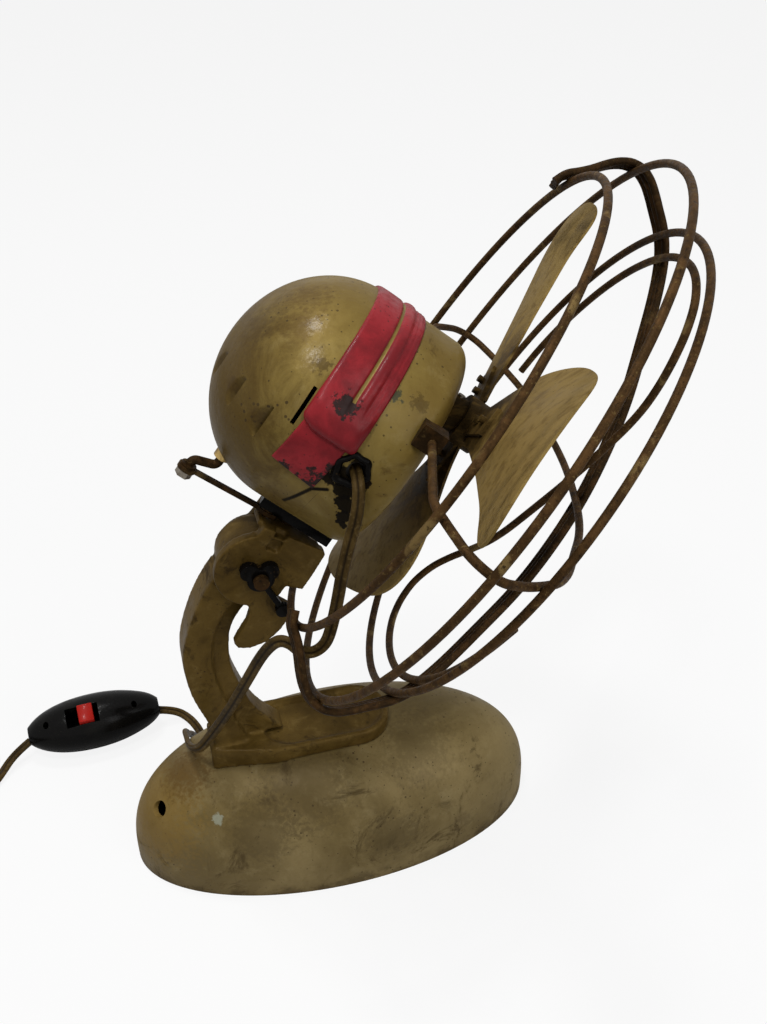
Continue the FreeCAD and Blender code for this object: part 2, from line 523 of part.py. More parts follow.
worm_x = S.CrankX - 5
node(fuse(prim("Cylinder", HEAD, (S.ShaftRear, 0, 0), ALONG_X, Radius="Sizes.ShaftRadius",
               Height="Sizes.HubFront + 3 - Sizes.ShaftRear"),
          prim("Cylinder", HEAD, (worm_x, 0, 0), ALONG_X, Radius="Sizes.WormRadius",
               Height=10)), "rotor_shaft")
front_bush = Part.makeCylinder(bush_r, 5.5, V(S.ShellFront - 3.6, 0, 0), V(1, 0, 0))
bush_bore = Part.makeCylinder(S.ShaftRadius + S.ShaftFit, 200, V(-100, 0, 0), V(1, 0, 0))
bracket = Part.makeBox(4, 46, 13, V(S.CoreRear - 14, -23, -6.5))
for y in (-23, 19):
    bracket = bracket.fuse(Part.makeBox(10, 4, 13, V(S.CoreRear - 10, y, -6.5)))
bracket = bracket.cut(Part.makeCylinder(bush_r, 200, V(-100, 0, 0), V(1, 0, 0)))
node(raw(bracket.removeSplitter(), HEAD), "bearing_bracket")
rear_bush = Part.makeCylinder(bush_r, 5, V(S.CoreRear - 14.5, 0, 0), V(1, 0, 0))
node(raw(Part.makeCompound([front_bush.cut(bush_bore), rear_bush.cut(bush_bore)]), HEAD),
     "shaft_bearings")
case_x0, case_x1 = worm_x - 2.6, S.CoreRear - 14
case = Part.makeBox(case_x1 - case_x0, 23.5, 15, V(case_x0, -17.5, -9))
case = case.cut(Part.makeBox(13.4, 19.5, 11.4, V(worm_x - 1, -15.5, -7)))
case = case.cut(Part.makeCylinder(S.ShaftRadius + 0.3, 200, V(-100, 0, 0), V(1, 0, 0)))
case = case.cut(Part.makeCylinder(S.CrankWire + 0.06, 40, V(S.CrankX, S.CrankY, -30)))
case = case.cut(rear_bush)
node(raw(case, HEAD), "gearbox_case")
bush_low = -25 - math.sqrt(S.ShellRadius ** 2 - S.CrankY ** 2) * math.sqrt(
    1 - ((S.CrankX - S.ShellBreak) / (S.ShellRear - S.ShellBreak)) ** 2) - 1.0
crank_sleeve = Part.makeCylinder(crank_bush_r, 10, V(S.CrankX, S.CrankY, bush_low))
crank_sleeve = crank_sleeve.cut(Part.makeCylinder(S.CrankWire + 0.06, 60,
                                                  V(S.CrankX, S.CrankY, -90)))
node(raw(crank_sleeve, HEAD), "crank_bush")

# Crank body: bent crank rod, worm wheel and pin nut.
rest = math.radians(S.CrankRest)
pin_xy = (S.CrankX + S.CrankArm * math.cos(rest), S.CrankY + S.CrankArm * math.sin(rest))
link_z = S.LinkLevel - S.ShaftHeight
mid_xy = ((S.CrankX + pin_xy[0]) / 2, (S.CrankY + pin_xy[1]) / 2)
rod_path = [(S.CrankX, S.CrankY, 2.4), (S.CrankX, S.CrankY, -74.6),
            (pin_xy[0], pin_xy[1], -76.6), (pin_xy[0], pin_xy[1], link_z - 4.6)]
rod, _, _ = tube(rod_path, S.CrankWire, arc=2.6)
ring_z = link_z + S.LinkThick / 2 + 0.1
rod = rod.fuse(Part.makeCylinder(3.4, 1.0, V(pin_xy[0], pin_xy[1], ring_z)))
node(raw(rod, HEAD), "crank_rod")
wheel = Part.makeCylinder(S.WheelRadius, 6, V(S.CrankX, S.CrankY, -3.6))
wheel = wheel.cut(Part.makeCylinder(S.CrankWire, 40, V(S.CrankX, S.CrankY, -20)))
node(raw(wheel, HEAD), "worm_wheel")
nut_at = HEAD.multiply(Placement(V(pin_xy[0], pin_xy[1], link_z - S.LinkThick / 2 - 3.1),
                                 Rotation()))
nut_hex = [(3.7 * math.cos(math.radians(60 * i)), 3.7 * math.sin(math.radians(60 * i)))
           for i in range(6)]
crank_nut = pad(nut_hex, "3.0", nut_at, (0, 0, 0), Rotation())
nut_hole = prim("Cylinder", nut_at, (0, 0, -1), Radius="Sizes.CrankWire", Height=9)
node(cut(crank_nut, nut_hole), "crank_nut")

# Link: a thin rod with an eye on the crank pin and a long eye over the anchor pin.
rest_pin = YOKE.inverse().multVec(HEAD.multVec(V(pin_xy[0], pin_xy[1], link_z)))
anchor = V(S.AnchorX, S.AnchorY, S.LinkLevel)
along = V(anchor.x - rest_pin.x, anchor.y - rest_pin.y, 0)
link_len = along.Length
along.normalize()
link_turn = Rotation(V(0, 0, 1), math.degrees(math.atan2(along.y, along.x)))
link_low = -S.LinkThick / 2
slot_half, slot_wide, rim = 3.9, 2.6, 1.2
eye = Part.makeCylinder(4.2, S.LinkThick, V(0, 0, link_low))
rod_bar = Part.makeBox(link_len - slot_half, 2.2, S.LinkThick, V(0, -1.1, link_low))
stad = Part.makeBox(2 * slot_half - 2 * slot_wide, 2 * (slot_wide + rim), S.LinkThick,
                    V(link_len - slot_half + slot_wide, -slot_wide - rim, link_low))
hollow = Part.makeBox(2 * slot_half - 2 * slot_wide, 2 * slot_wide, 9,
                      V(link_len - slot_half + slot_wide, -slot_wide, -4))
for end in (link_len - slot_half + slot_wide, link_len + slot_half - slot_wide):
    stad = stad.fuse(Part.makeCylinder(slot_wide + rim, S.LinkThick, V(end, 0, link_low)))
    hollow = hollow.fuse(Part.makeCylinder(slot_wide, 9, V(end, 0, -4)))
link = eye.fuse([rod_bar, stad]).removeSplitter().cut(hollow)
link = link.cut(Part.makeCylinder(S.CrankWire + 0.06, 9, V(0, 0, -4)))
link_frame = YOKE.multiply(Placement(V(rest_pin.x, rest_pin.y, S.LinkLevel), link_turn))
node(raw(link, link_frame), "link_rod")

# ---- guard -----------------------------------------------------------------------------------
RINGS = [("guard_ring_rear", "RearRingX", "RearRingRadius"), ("guard_ring_rim", "RimX", "RimRadius"),
         ("guard_ring_front", "FrontRingX", "FrontRingRadius")]
for label, at_x, radius in RINGS:
    node(prim("Torus", HEAD, (float(sheet.get(at_x)), 0, 0), ALONG_X, Radius1="Sizes." + radius,
              Radius2="Sizes.WireRadius"), label)


def guard_point(x, r, angle, shift=0.0):
    """A point on the guard: x along the shaft, r from it, angle from the top towards the left."""
    a = math.radians(angle)
    return (x, -r * math.sin(a) - shift * math.cos(a), r * math.cos(a) - shift * math.sin(a))


d = 2 * S.WireRadius + 0.06
x1, r1, x2, r2 = S.RearRingX, S.RearRingRadius, S.RimX, S.RimRadius
x3, r3, x4 = S.FrontRingX, S.FrontRingRadius, S.ApexX
# Outside line of the basket for the spine, from the rear ring over the rim to the middle.
OUTLINE = [(x1 - 2.6, r1 + d - 0.4), (x1 + 2.2, r1 + d + 3.9), (x1 + 9, r1 + 0.78 * (r2 - r1)),
           (x1 + 15.6, r2 + 1.6), (x2, r2 + d + 0.5), (x2 + 8.5, r2 + 1.6), (x2 + 16.5, r3 + 11.6),
           (x3 + 0.6 * d, r3 + 0.9 * d), (x3 + 12, r3 - 13.5), (x4 - 12.5, 0.64 * r3),
           (x4 - 5.6, 0.43 * r3), (x4 - 1.3, 0.20 * r3)]
SPINE_TOP, SPINE_LOW = 335.0, 147.5


def spine_angle(r):
    """The spine's angle: its two ends don't quite face each other."""
    mid = (SPINE_TOP + SPINE_LOW + 180) / 2
    return mid + (SPINE_TOP - mid) * max(-1, min(1, r / r1))


spines = []
for lane in (-1, 0, 1):
    top = [(x1 - 5.4 - lane, r1 - 4.0), (x1 - 4.9, r1 + 0.6)] + OUTLINE
    low = [(x1 - 6.6, r1 - 4.4), (x1 - 5.5, r1 + 0.4)] + OUTLINE
    path = [guard_point(x, r, spine_angle(r), lane * d) for x, r in top]
    path.append(guard_point(x4, 0.0, spine_angle(0), lane * d))
    path += [guard_point(x, -r, spine_angle(-r), lane * d) for x, r in low[::-1]]
    spines.append(bent_wire(path, S.WireRadius, 64))
node(raw(Part.makeCompound(spines), HEAD), "guard_spine")

# Cross hoop inside the rings, its two ends turned in to the housing's front corner.
HOOP = [(x1 - 1.2, 46.4), (x1 - 1.2, 60), (x1 - 1.1, 84), (x1 - 0.9, 99), (x1 + 0.4, r1 - d - 1.1),
        (x1 + 4.2, r1 - d + 3.0), (x1 + 12.2, r1 + 9.4), (x2 - 3.6, r2 - d - 0.3),
        (x2 + 4, r2 - d - 0.3), (x2 + 14.5, r3 + 5.0), (x3 - 0.52 * d, r3 - 0.86 * d),
        (x3 + 9.5, r3 - 17), (x4 - 14.6, 0.60 * r3), (x4 - 8.2, 0.40 * r3), (x4 - 4.3, 0.18 * r3)]
hoop_path = [guard_point(x, r, 92.0) for x, r in HOOP]
hoop_path.append(guard_point(x4 - d, 0.0, 92.0))
hoop_path += [guard_point(x, r, 273.0) for x, r in HOOP[::-1]]
node(raw(bent_wire(hoop_path, S.WireRadius), HEAD), "guard_hoop")


def face_x(r):
    """How far forward the outside line lies at a radius, for wires on the guard's face."""
    rows = [(x4, 0.0)] + OUTLINE[::-1]
    for (xa, ra), (xb, rb) in zip(rows, rows[1:]):
        if ra <= r <= rb:
            return xa + (xb - xa) * (r - ra) / (rb - ra)
    return rows[-1][0]


# S wire on the face: along the front ring, in through the middle and round the other side.
S_WIRE = [(105.5, 276), (106, 288), (106, 300), (106, 315), (106, 330), (106, 344), (105.5, 355),
          (103, 6), (95, 14.5), (82, 18), (66, 18.5), (50, 18.5), (34, 19), (17, 20)]
s_path = [guard_point(face_x(r) - 0.5 - 2.2 * d * max(0, 1 - r / 60.0) - d, r, a)
          for r, a in S_WIRE]
s_path.append(guard_point(x4 - 3.1 * d, 0, 20))
s_path += [guard_point(face_x(r) - 0.5 - 2.2 * d * max(0, 1 - r / 60.0) - d, r, a + 188)
           for r, a in S_WIRE[::-1]]
node(raw(bent_wire(s_path, S.WireRadius, 48), HEAD), "guard_s_wire")

# Two clamp blocks hold the hoop's ends to the housing's front corner.
clamps = []
for angle, side in ((92.0, -1), (273.0, 1)):
    mid = guard_point(x1 - 1.2, 46.4, angle)
    block = Part.makeBox(11, 9, 10, V(mid[0] - 6.5, mid[1] - (2.5 if side < 0 else 6.5), mid[2] - 5))
    block = block.cut(shell_solid(0))
    far_pt = guard_point(x1 - 1.2, 60, angle)
    run = V(*far_pt) - V(*mid)
    run.normalize()
    block = block.cut(Part.makeCylinder(S.WireRadius + 0.01, 30, V(*mid), run))
    clamps.append(block)
node(raw(clamps[0].fuse(clamps[1]), HEAD), "guard_clamps")

# ---- fan -------------------------------------------------------------------------------------
hub = Part.makeCylinder(S.CollarRadius, S.HubStep - S.HubRear, V(S.HubRear, 0, 0), V(1, 0, 0))
hub = hub.fuse(Part.makeCylinder(S.HubRadius, S.HubFront - S.HubStep, V(S.HubStep, 0, 0),
                                 V(1, 0, 0)))
hub_body = hub.removeSplitter()
shaft_hole = Part.makeCylinder(S.ShaftRadius, 200, V(-100, 0, 0), V(1, 0, 0))
PLAN = [(8, -7), (20, -15), (34, -25.5), (50, -31), (66, -30.5), (82, -23.5), (95, -9), (105, 8),
        (110.5, 24), (111.5, 36), (107, 46.5), (97, 50.5), (82, 41), (66, 32), (50, 24.5),
        (34, 18), (20, 12.5), (8, 9)]
plan_k = S.BladeTip / 111.5


def blade_sheet():
    """The blade's rear face: a dished sheet that twists a little towards its tip."""
    rows = []
    for i in range(14):
        r = (2.0 + 116.0 * i / 13) * plan_k
        share = max(0.0, (r / plan_k - 33.0) / 71.0)
        pitch = math.radians(S.RootPitch + (S.TipPitch - S.RootPitch) * share)
        row = []
        for j in range(15):
            y = (-42.0 + 106.0 * j / 14) * plan_k
            x = (S.BladeX + y * math.tan(pitch) + S.BladeDish * (y / plan_k / 35.0) ** 2
                 + S.BladeLean * (r / plan_k / 104.0) ** 2)
            row.append(V(x, -y, r))
        rows.append(row)
    skin = Part.BSplineSurface()
    skin.interpolate(rows)
    return skin.toShape()


plan_curve = Part.BSplineCurve()
plan_curve.interpolate([V(0, -y * plan_k, z * plan_k) for z, y in PLAN])
plan_face = Part.Face(Part.Wire([plan_curve.toShape(),
                                 Part.makeLine(V(0, -PLAN[-1][1] * plan_k, PLAN[-1][0] * plan_k),
                                               V(0, -PLAN[0][1] * plan_k, PLAN[0][0] * plan_k))]))
plan_prism = plan_face.extrude(V(160, 0, 0))
rear_face = blade_sheet()
blade = rear_face.extrude(V(S.BladeThick, 0, 0)).common(plan_prism)
arm_thick = 1.6
arm_plan = Part.makeBox(160, 13.0, S.RivetOuter + 5.0 - 7.5, V(0, -6.5, 7.5))
arm = rear_face.extrude(V(-arm_thick, 0, 0)).common(arm_plan)
flat_across = V(1, 0, 0)
rivets = []
for r in (S.RivetInner, S.RivetOuter):
    rivets.append(Part.makeCylinder(S.RivetRadius, 7, V(S.BladeX, 0, r) - flat_across * 4,
                                    flat_across))
blade = blade.cut(hub_body).cut(rivets[0]).cut(rivets[1])
arm = arm.cut(rivets[0]).cut(rivets[1])
hub_solid, rivet_all = hub_body, None
for i in range(int(S.BladeCount)):
    angle = S.FirstBlade + 360.0 / S.BladeCount * i
    turned = HEAD.multiply(Placement(V(0, 0, 0), Rotation(V(1, 0, 0), angle)))
    node(raw(blade, turned), "blade_%d" % (i + 1))
    one = arm.copy()
    one.rotate(V(0, 0, 0), V(1, 0, 0), angle)
    hub_solid = hub_solid.fuse(one)
    for peg in rivets:
        one = peg.copy()
        one.rotate(V(0, 0, 0), V(1, 0, 0), angle)
        rivet_all = one if rivet_all is None else rivet_all.fuse(one)
set_screw = Part.makeCylinder(1.8, S.CollarRadius - S.ShaftRadius + 0.8,
                              V(S.HubRear + 5, 0, S.ShaftRadius), V(0, 0, 1))
set_hole = Part.makeCylinder(1.8, S.CollarRadius + 0.8, V(S.HubRear + 5, 0, 0), V(0, 0, 1))
node(raw(hub_solid.cut(shaft_hole).cut(set_hole), HEAD), "fan_hub")
node(raw(rivet_all, HEAD), "blade_rivets")
node(raw(set_screw, HEAD), "hub_set_screw")

# ---- cord, switch and plug -------------------------------------------------------------------
gd = V(grommet_dir)
gd.normalize()
grommet = Part.makeCylinder(S.CordRadius + 2.0, 6, V(*cord_exit) - gd * 3.4, gd)
grommet = grommet.fuse(Part.makeCylinder(S.CordRadius + 3.2, 1.4, V(*cord_exit) + gd * 1.2, gd))
start = V(*cord_exit) - gd * 3.0
grommet = grommet.cut(Part.makeCylinder(S.CordRadius, 40, V(*cord_exit) - gd * 20, gd))
node(raw(grommet, HEAD), "cord_grommet")
knee = start + gd * 12
HEAD_RUN = [(start.x, start.y, start.z), (knee.x, knee.y, knee.z), (11.0, -58.0, -37.5),
            (15.5, -58.2, -50.0), (20.5, -58.0, -62.5), (26.5, -57.0, -75.0),
            (31.0, -55.4, -85.2)]
hook_start = HEAD.inverse().multVec(V(-11.3, -62.4, 193.4))
HEAD_RUN.append((hook_start.x, hook_start.y, hook_start.z))
lane_end = to_world(HEAD, HEAD_RUN[-1])


def onward(points, reach):
    """The point straight on past the end of a row of points."""
    a, b = V(*points[-2]), V(*points[-1])
    step = b - a
    step.normalize()
    q = b + step * reach
    return (q.x, q.y, q.z)


near_hook = [to_world(HEAD, q) for q in HEAD_RUN[-2:]]
SPAN = [lane_end, onward(near_hook, 5.0), (-15.8, -61.9, 184.0), (-20.0, -61.1, 181.9),
        (-24.4, -60.0, 183.4), (-27.5, -58.4, 187.0), (-31.5, -56.0, 187.6),
        (-35.2, -52.4, 182.0), (-39.4, -47.6, 171.5), (-45.2, -41.2, 153.5),
        (-51.8, -33.6, 133.0), (-58.4, -25.0, 112.5), (-66.5, -15.5, 91.0)]
TAIL = [SPAN[-1], onward(SPAN, 8.0),
        (-73.5, 1.0, 71.0), (-75.0, 13.0, 65.0),
        (-75.0, 25.0, 57.0), (-73.5, 37.0, 45.0), (-71.0, 46.5, 31.0), (-68.0, 54.0, 17.5),
        (-66.0, 63.5, 6.6), (-66.3, 75.0, 2.8), (-71.0, 86.5, 3.2), (-79.0, 91.5, 7.5),
        (-88.2, 89.5, 12.0)]
SWITCH_IN, SWITCH_OUT = V(-88.2, 89.5, 12.0), V(-163.6, 84.3, 12.0)
LEAD = [(-163.6, 84.3, 12.0), (-173.5, 80.0, 8.0), (-181.5, 71.0, 3.4), (-189.0, 60.0, 2.7),
        (-198.0, 50.0, 3.0), (-207.5, 43.0, 6.0)]
coil_r = S.CoilHeight / 2
COIL_AT = V(-240.0, 39.0, coil_r)
hank = Part.makeTorus(S.CoilRadius, coil_r, COIL_AT)
cord_total = 0
cords = {}
for label, points, frame in (("cord_head_run", HEAD_RUN, HEAD), ("cord_span", SPAN, ROOT),
                             ("cord_tail", TAIL, ROOT), ("lead", LEAD, ROOT)):
    solid, length, radii = tube(points, S.CordRadius)
    print(label, "length %.1f" % length, "radii", ["%.1f" % r for r in radii],
          "volume ratio %.4f" % (solid.Volume / (length * math.pi * S.CordRadius ** 2)))
    cord_total += length
    if label == "cord_tail":
        solid = solid.cut(dome(S.BaseHalfLength, S.BaseHalfWidth, S.BaseHeight))
    if label == "lead":
        solid = solid.cut(hank)
    cords[label] = solid
    node(raw(solid, frame), label)
print("cord outside the coil %.0f mm" % cord_total)

# In-line switch: a torpedo split at mid height, a sliding button in its top.
sw_dir = SWITCH_OUT - SWITCH_IN
sw_turn = math.degrees(math.atan2(sw_dir.y, sw_dir.x))
SWITCH = Placement(V(SWITCH_IN.x, SWITCH_IN.y, S.SwitchRadius), Rotation(V(0, 0, 1), sw_turn))
torp = []
for share, r in ((0.0, 0.30), (0.04, 0.47), (0.16, 0.74), (0.32, 0.93), (0.5, 1.0), (0.68, 0.95),
                 (0.84, 0.77), (0.96, 0.47), (1.0, 0.30)):
    torp.append(V(share * S.SwitchLength, 0, r * S.SwitchRadius))
side = Part.BSplineCurve()
side.interpolate(torp)
prof = Part.Face(Part.Wire([side.toShape(), Part.makeLine(torp[-1], V(S.SwitchLength, 0, 0)),
                            Part.makeLine(V(S.SwitchLength, 0, 0), V(0, 0, 0)),
                            Part.makeLine(V(0, 0, 0), torp[0])]))
torpedo = prof.revolve(V(0, 0, 0), V(1, 0, 0), 360)
room = Part.makeBox(42, 12, 13, V(S.SwitchLength / 2 - 21, -6, -7))
torpedo = torpedo.cut(room)
mid_s = S.SwitchLength / 2 + 6
travel = 5.0
window = Part.makeBox(S.ButtonLength + travel + 0.6, S.ButtonWidth + 0.6, 30,
                      V(mid_s - (S.ButtonLength + travel) / 2 - 0.3, -S.ButtonWidth / 2 - 0.3, 0))
bores = [Part.makeCylinder(1.6, 60, V(x, y, -30)) for x, y in ((14, 0), (S.SwitchLength - 11, 0))]
top_half = torpedo.common(Part.makeBox(200, 80, 40, V(-50, -40, 0.03))).cut(window)
low_half = torpedo.common(Part.makeBox(200, 80, 40, V(-50, -40, -40)))
for label in ("cord_tail", "lead"):
    inlet = cords[label].transformed(SWITCH.inverse().toMatrix(), True)
    top_half, low_half = top_half.cut(inlet), low_half.cut(inlet)
for bore in bores:
    top_half, low_half = top_half.cut(bore), low_half.cut(bore)
node(raw(top_half, SWITCH), "switch_upper_shell")
node(raw(low_half, SWITCH), "switch_lower_shell")
button = Part.makeBox(S.ButtonLength, S.ButtonWidth, S.SwitchRadius + 1.6 - 2.0,
                      V(mid_s - (S.ButtonLength + travel) / 2, -S.ButtonWidth / 2, 2.0))
node(raw(button, SWITCH), "switch_button")
pegs = [Part.makeCylinder(1.55, 14, V(x, 0, -6.4)) for x in (14, S.SwitchLength - 11)]
node(raw(pegs[0].fuse(pegs[1]), SWITCH), "switch_screws")

node(raw(hank), "lead_coil")
PLUG = Placement(V(-242.0, 39.0 - S.CoilRadius - 0.5 * coil_r, S.PlugRadius),
                 Rotation(V(0, 0, 1), -98))
plug = Part.makeCone(0.55 * S.PlugRadius, S.PlugRadius, S.PlugLength * 0.55, V(0, 0, 0), V(1, 0, 0))
plug = plug.fuse(Part.makeCylinder(S.PlugRadius, S.PlugLength * 0.45, V(S.PlugLength * 0.55, 0, 0),
                                   V(1, 0, 0)))
pins = [Part.makeBox(S.PinLength + 6, S.PinThick, 6.3, V(S.PlugLength - 6, y - S.PinThick / 2, -3.15))
        for y in (-6.35, 6.35)]
for pin in pins:
    plug = plug.cut(pin)
plug = plug.cut(hank.transformed(PLUG.inverse().toMatrix(), True))
node(raw(plug, PLUG), "plug_body")
node(raw(pins[0].fuse(pins[1]), PLUG), "plug_pins")

# ---- checks and export -----------------------------------------------------------------------
doc.recompute()
for obj in doc.Objects:
    if "Invalid" in obj.State or "Error" in obj.State:
        raise RuntimeError("%s (%s) failed: %s" % (obj.Name, obj.Label, obj.State))
os.makedirs("parts", exist_ok=True)
for obj in NODES:
    shape = obj.Shape
    if shape.isNull() or not shape.isValid() or not shape.Solids:
        raise RuntimeError("%s has no valid solid" % obj.Label)
for obj in NODES:
    obj.Shape.exportStep("parts/%s.step" % obj.Label)
print(len(NODES), "nodes")
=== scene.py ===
"""Oscillating desk fan: finishes, softened castings, flat twin cords, floor, light and camera.

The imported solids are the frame. Metres, +Z up, origin under the middle of the base, +X the way
the fan blows. The head's own frame has +X along the fan shaft.
"""

from __future__ import annotations

import json
import logging
import math
from collections.abc import Callable, Sequence
from dataclasses import dataclass, field
from enum import Enum

import bmesh
import bpy
from mathutils import Matrix, Vector

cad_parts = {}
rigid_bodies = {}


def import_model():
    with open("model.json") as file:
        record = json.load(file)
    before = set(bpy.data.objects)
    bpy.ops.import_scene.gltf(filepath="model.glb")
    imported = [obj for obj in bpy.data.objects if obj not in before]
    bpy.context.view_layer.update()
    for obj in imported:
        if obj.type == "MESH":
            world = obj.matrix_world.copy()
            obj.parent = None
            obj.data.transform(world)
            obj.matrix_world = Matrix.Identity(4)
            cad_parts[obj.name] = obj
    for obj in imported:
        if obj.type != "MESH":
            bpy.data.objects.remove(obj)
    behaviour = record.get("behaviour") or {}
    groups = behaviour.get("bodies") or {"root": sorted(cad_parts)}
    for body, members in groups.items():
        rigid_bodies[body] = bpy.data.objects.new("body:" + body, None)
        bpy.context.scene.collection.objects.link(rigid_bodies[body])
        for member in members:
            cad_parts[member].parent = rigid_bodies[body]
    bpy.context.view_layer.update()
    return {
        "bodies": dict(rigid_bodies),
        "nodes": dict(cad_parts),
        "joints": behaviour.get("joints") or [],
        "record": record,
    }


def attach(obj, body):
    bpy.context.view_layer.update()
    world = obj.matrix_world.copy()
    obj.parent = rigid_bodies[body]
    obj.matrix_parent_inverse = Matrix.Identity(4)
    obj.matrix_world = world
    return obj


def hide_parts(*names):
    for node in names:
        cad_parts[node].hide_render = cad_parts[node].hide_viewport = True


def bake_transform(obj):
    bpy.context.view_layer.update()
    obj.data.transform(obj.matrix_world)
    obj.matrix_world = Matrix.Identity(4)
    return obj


LOG = logging.getLogger("desk_fan")
Colour = tuple[float, float, float]
Point = tuple[float, float, float]

# The tilt yoke leans forward on the neck, and the head swings on the yoke's post.
TILT_PIVOT, TILT_REST = (-0.0327, 0.0, 0.1894), math.radians(36.24)
SWIVEL_PIVOT, SWIVEL_REST = (0.00204, 0.0, 0.1066), math.radians(-19.65)
YOKE = Matrix.Translation(TILT_PIVOT) @ Matrix.Rotation(TILT_REST, 4, "Y")
HEAD = YOKE @ Matrix.Translation(SWIVEL_PIVOT) @ Matrix.Rotation(SWIVEL_REST, 4, "Z")

# The motor's barrel in the head's frame, in millimetres: its radius and its axis's drop.
BARREL_RADIUS, BARREL_DROP = 50.0, 25.0


def in_head(x: float, y: float, z: float) -> Point:
    """Gives the row-frame place, in metres, of a point of the head, in millimetres."""
    return tuple(HEAD @ Vector((x / 1000.0, y / 1000.0, z / 1000.0)))


def on_barrel(x: float, z: float) -> Point:
    """Gives the row-frame place on the near side of the motor's barrel, from millimetres."""
    return in_head(x, -math.sqrt(BARREL_RADIUS ** 2 - (z + BARREL_DROP) ** 2), z)


# ---------------------------------------------------------------------------------------------
# Finishes
# ---------------------------------------------------------------------------------------------


class Pattern(Enum):
    """Which measure of a cell pattern a finish reads."""

    ROUND = "F1"
    SOFT = "SMOOTH_F1"


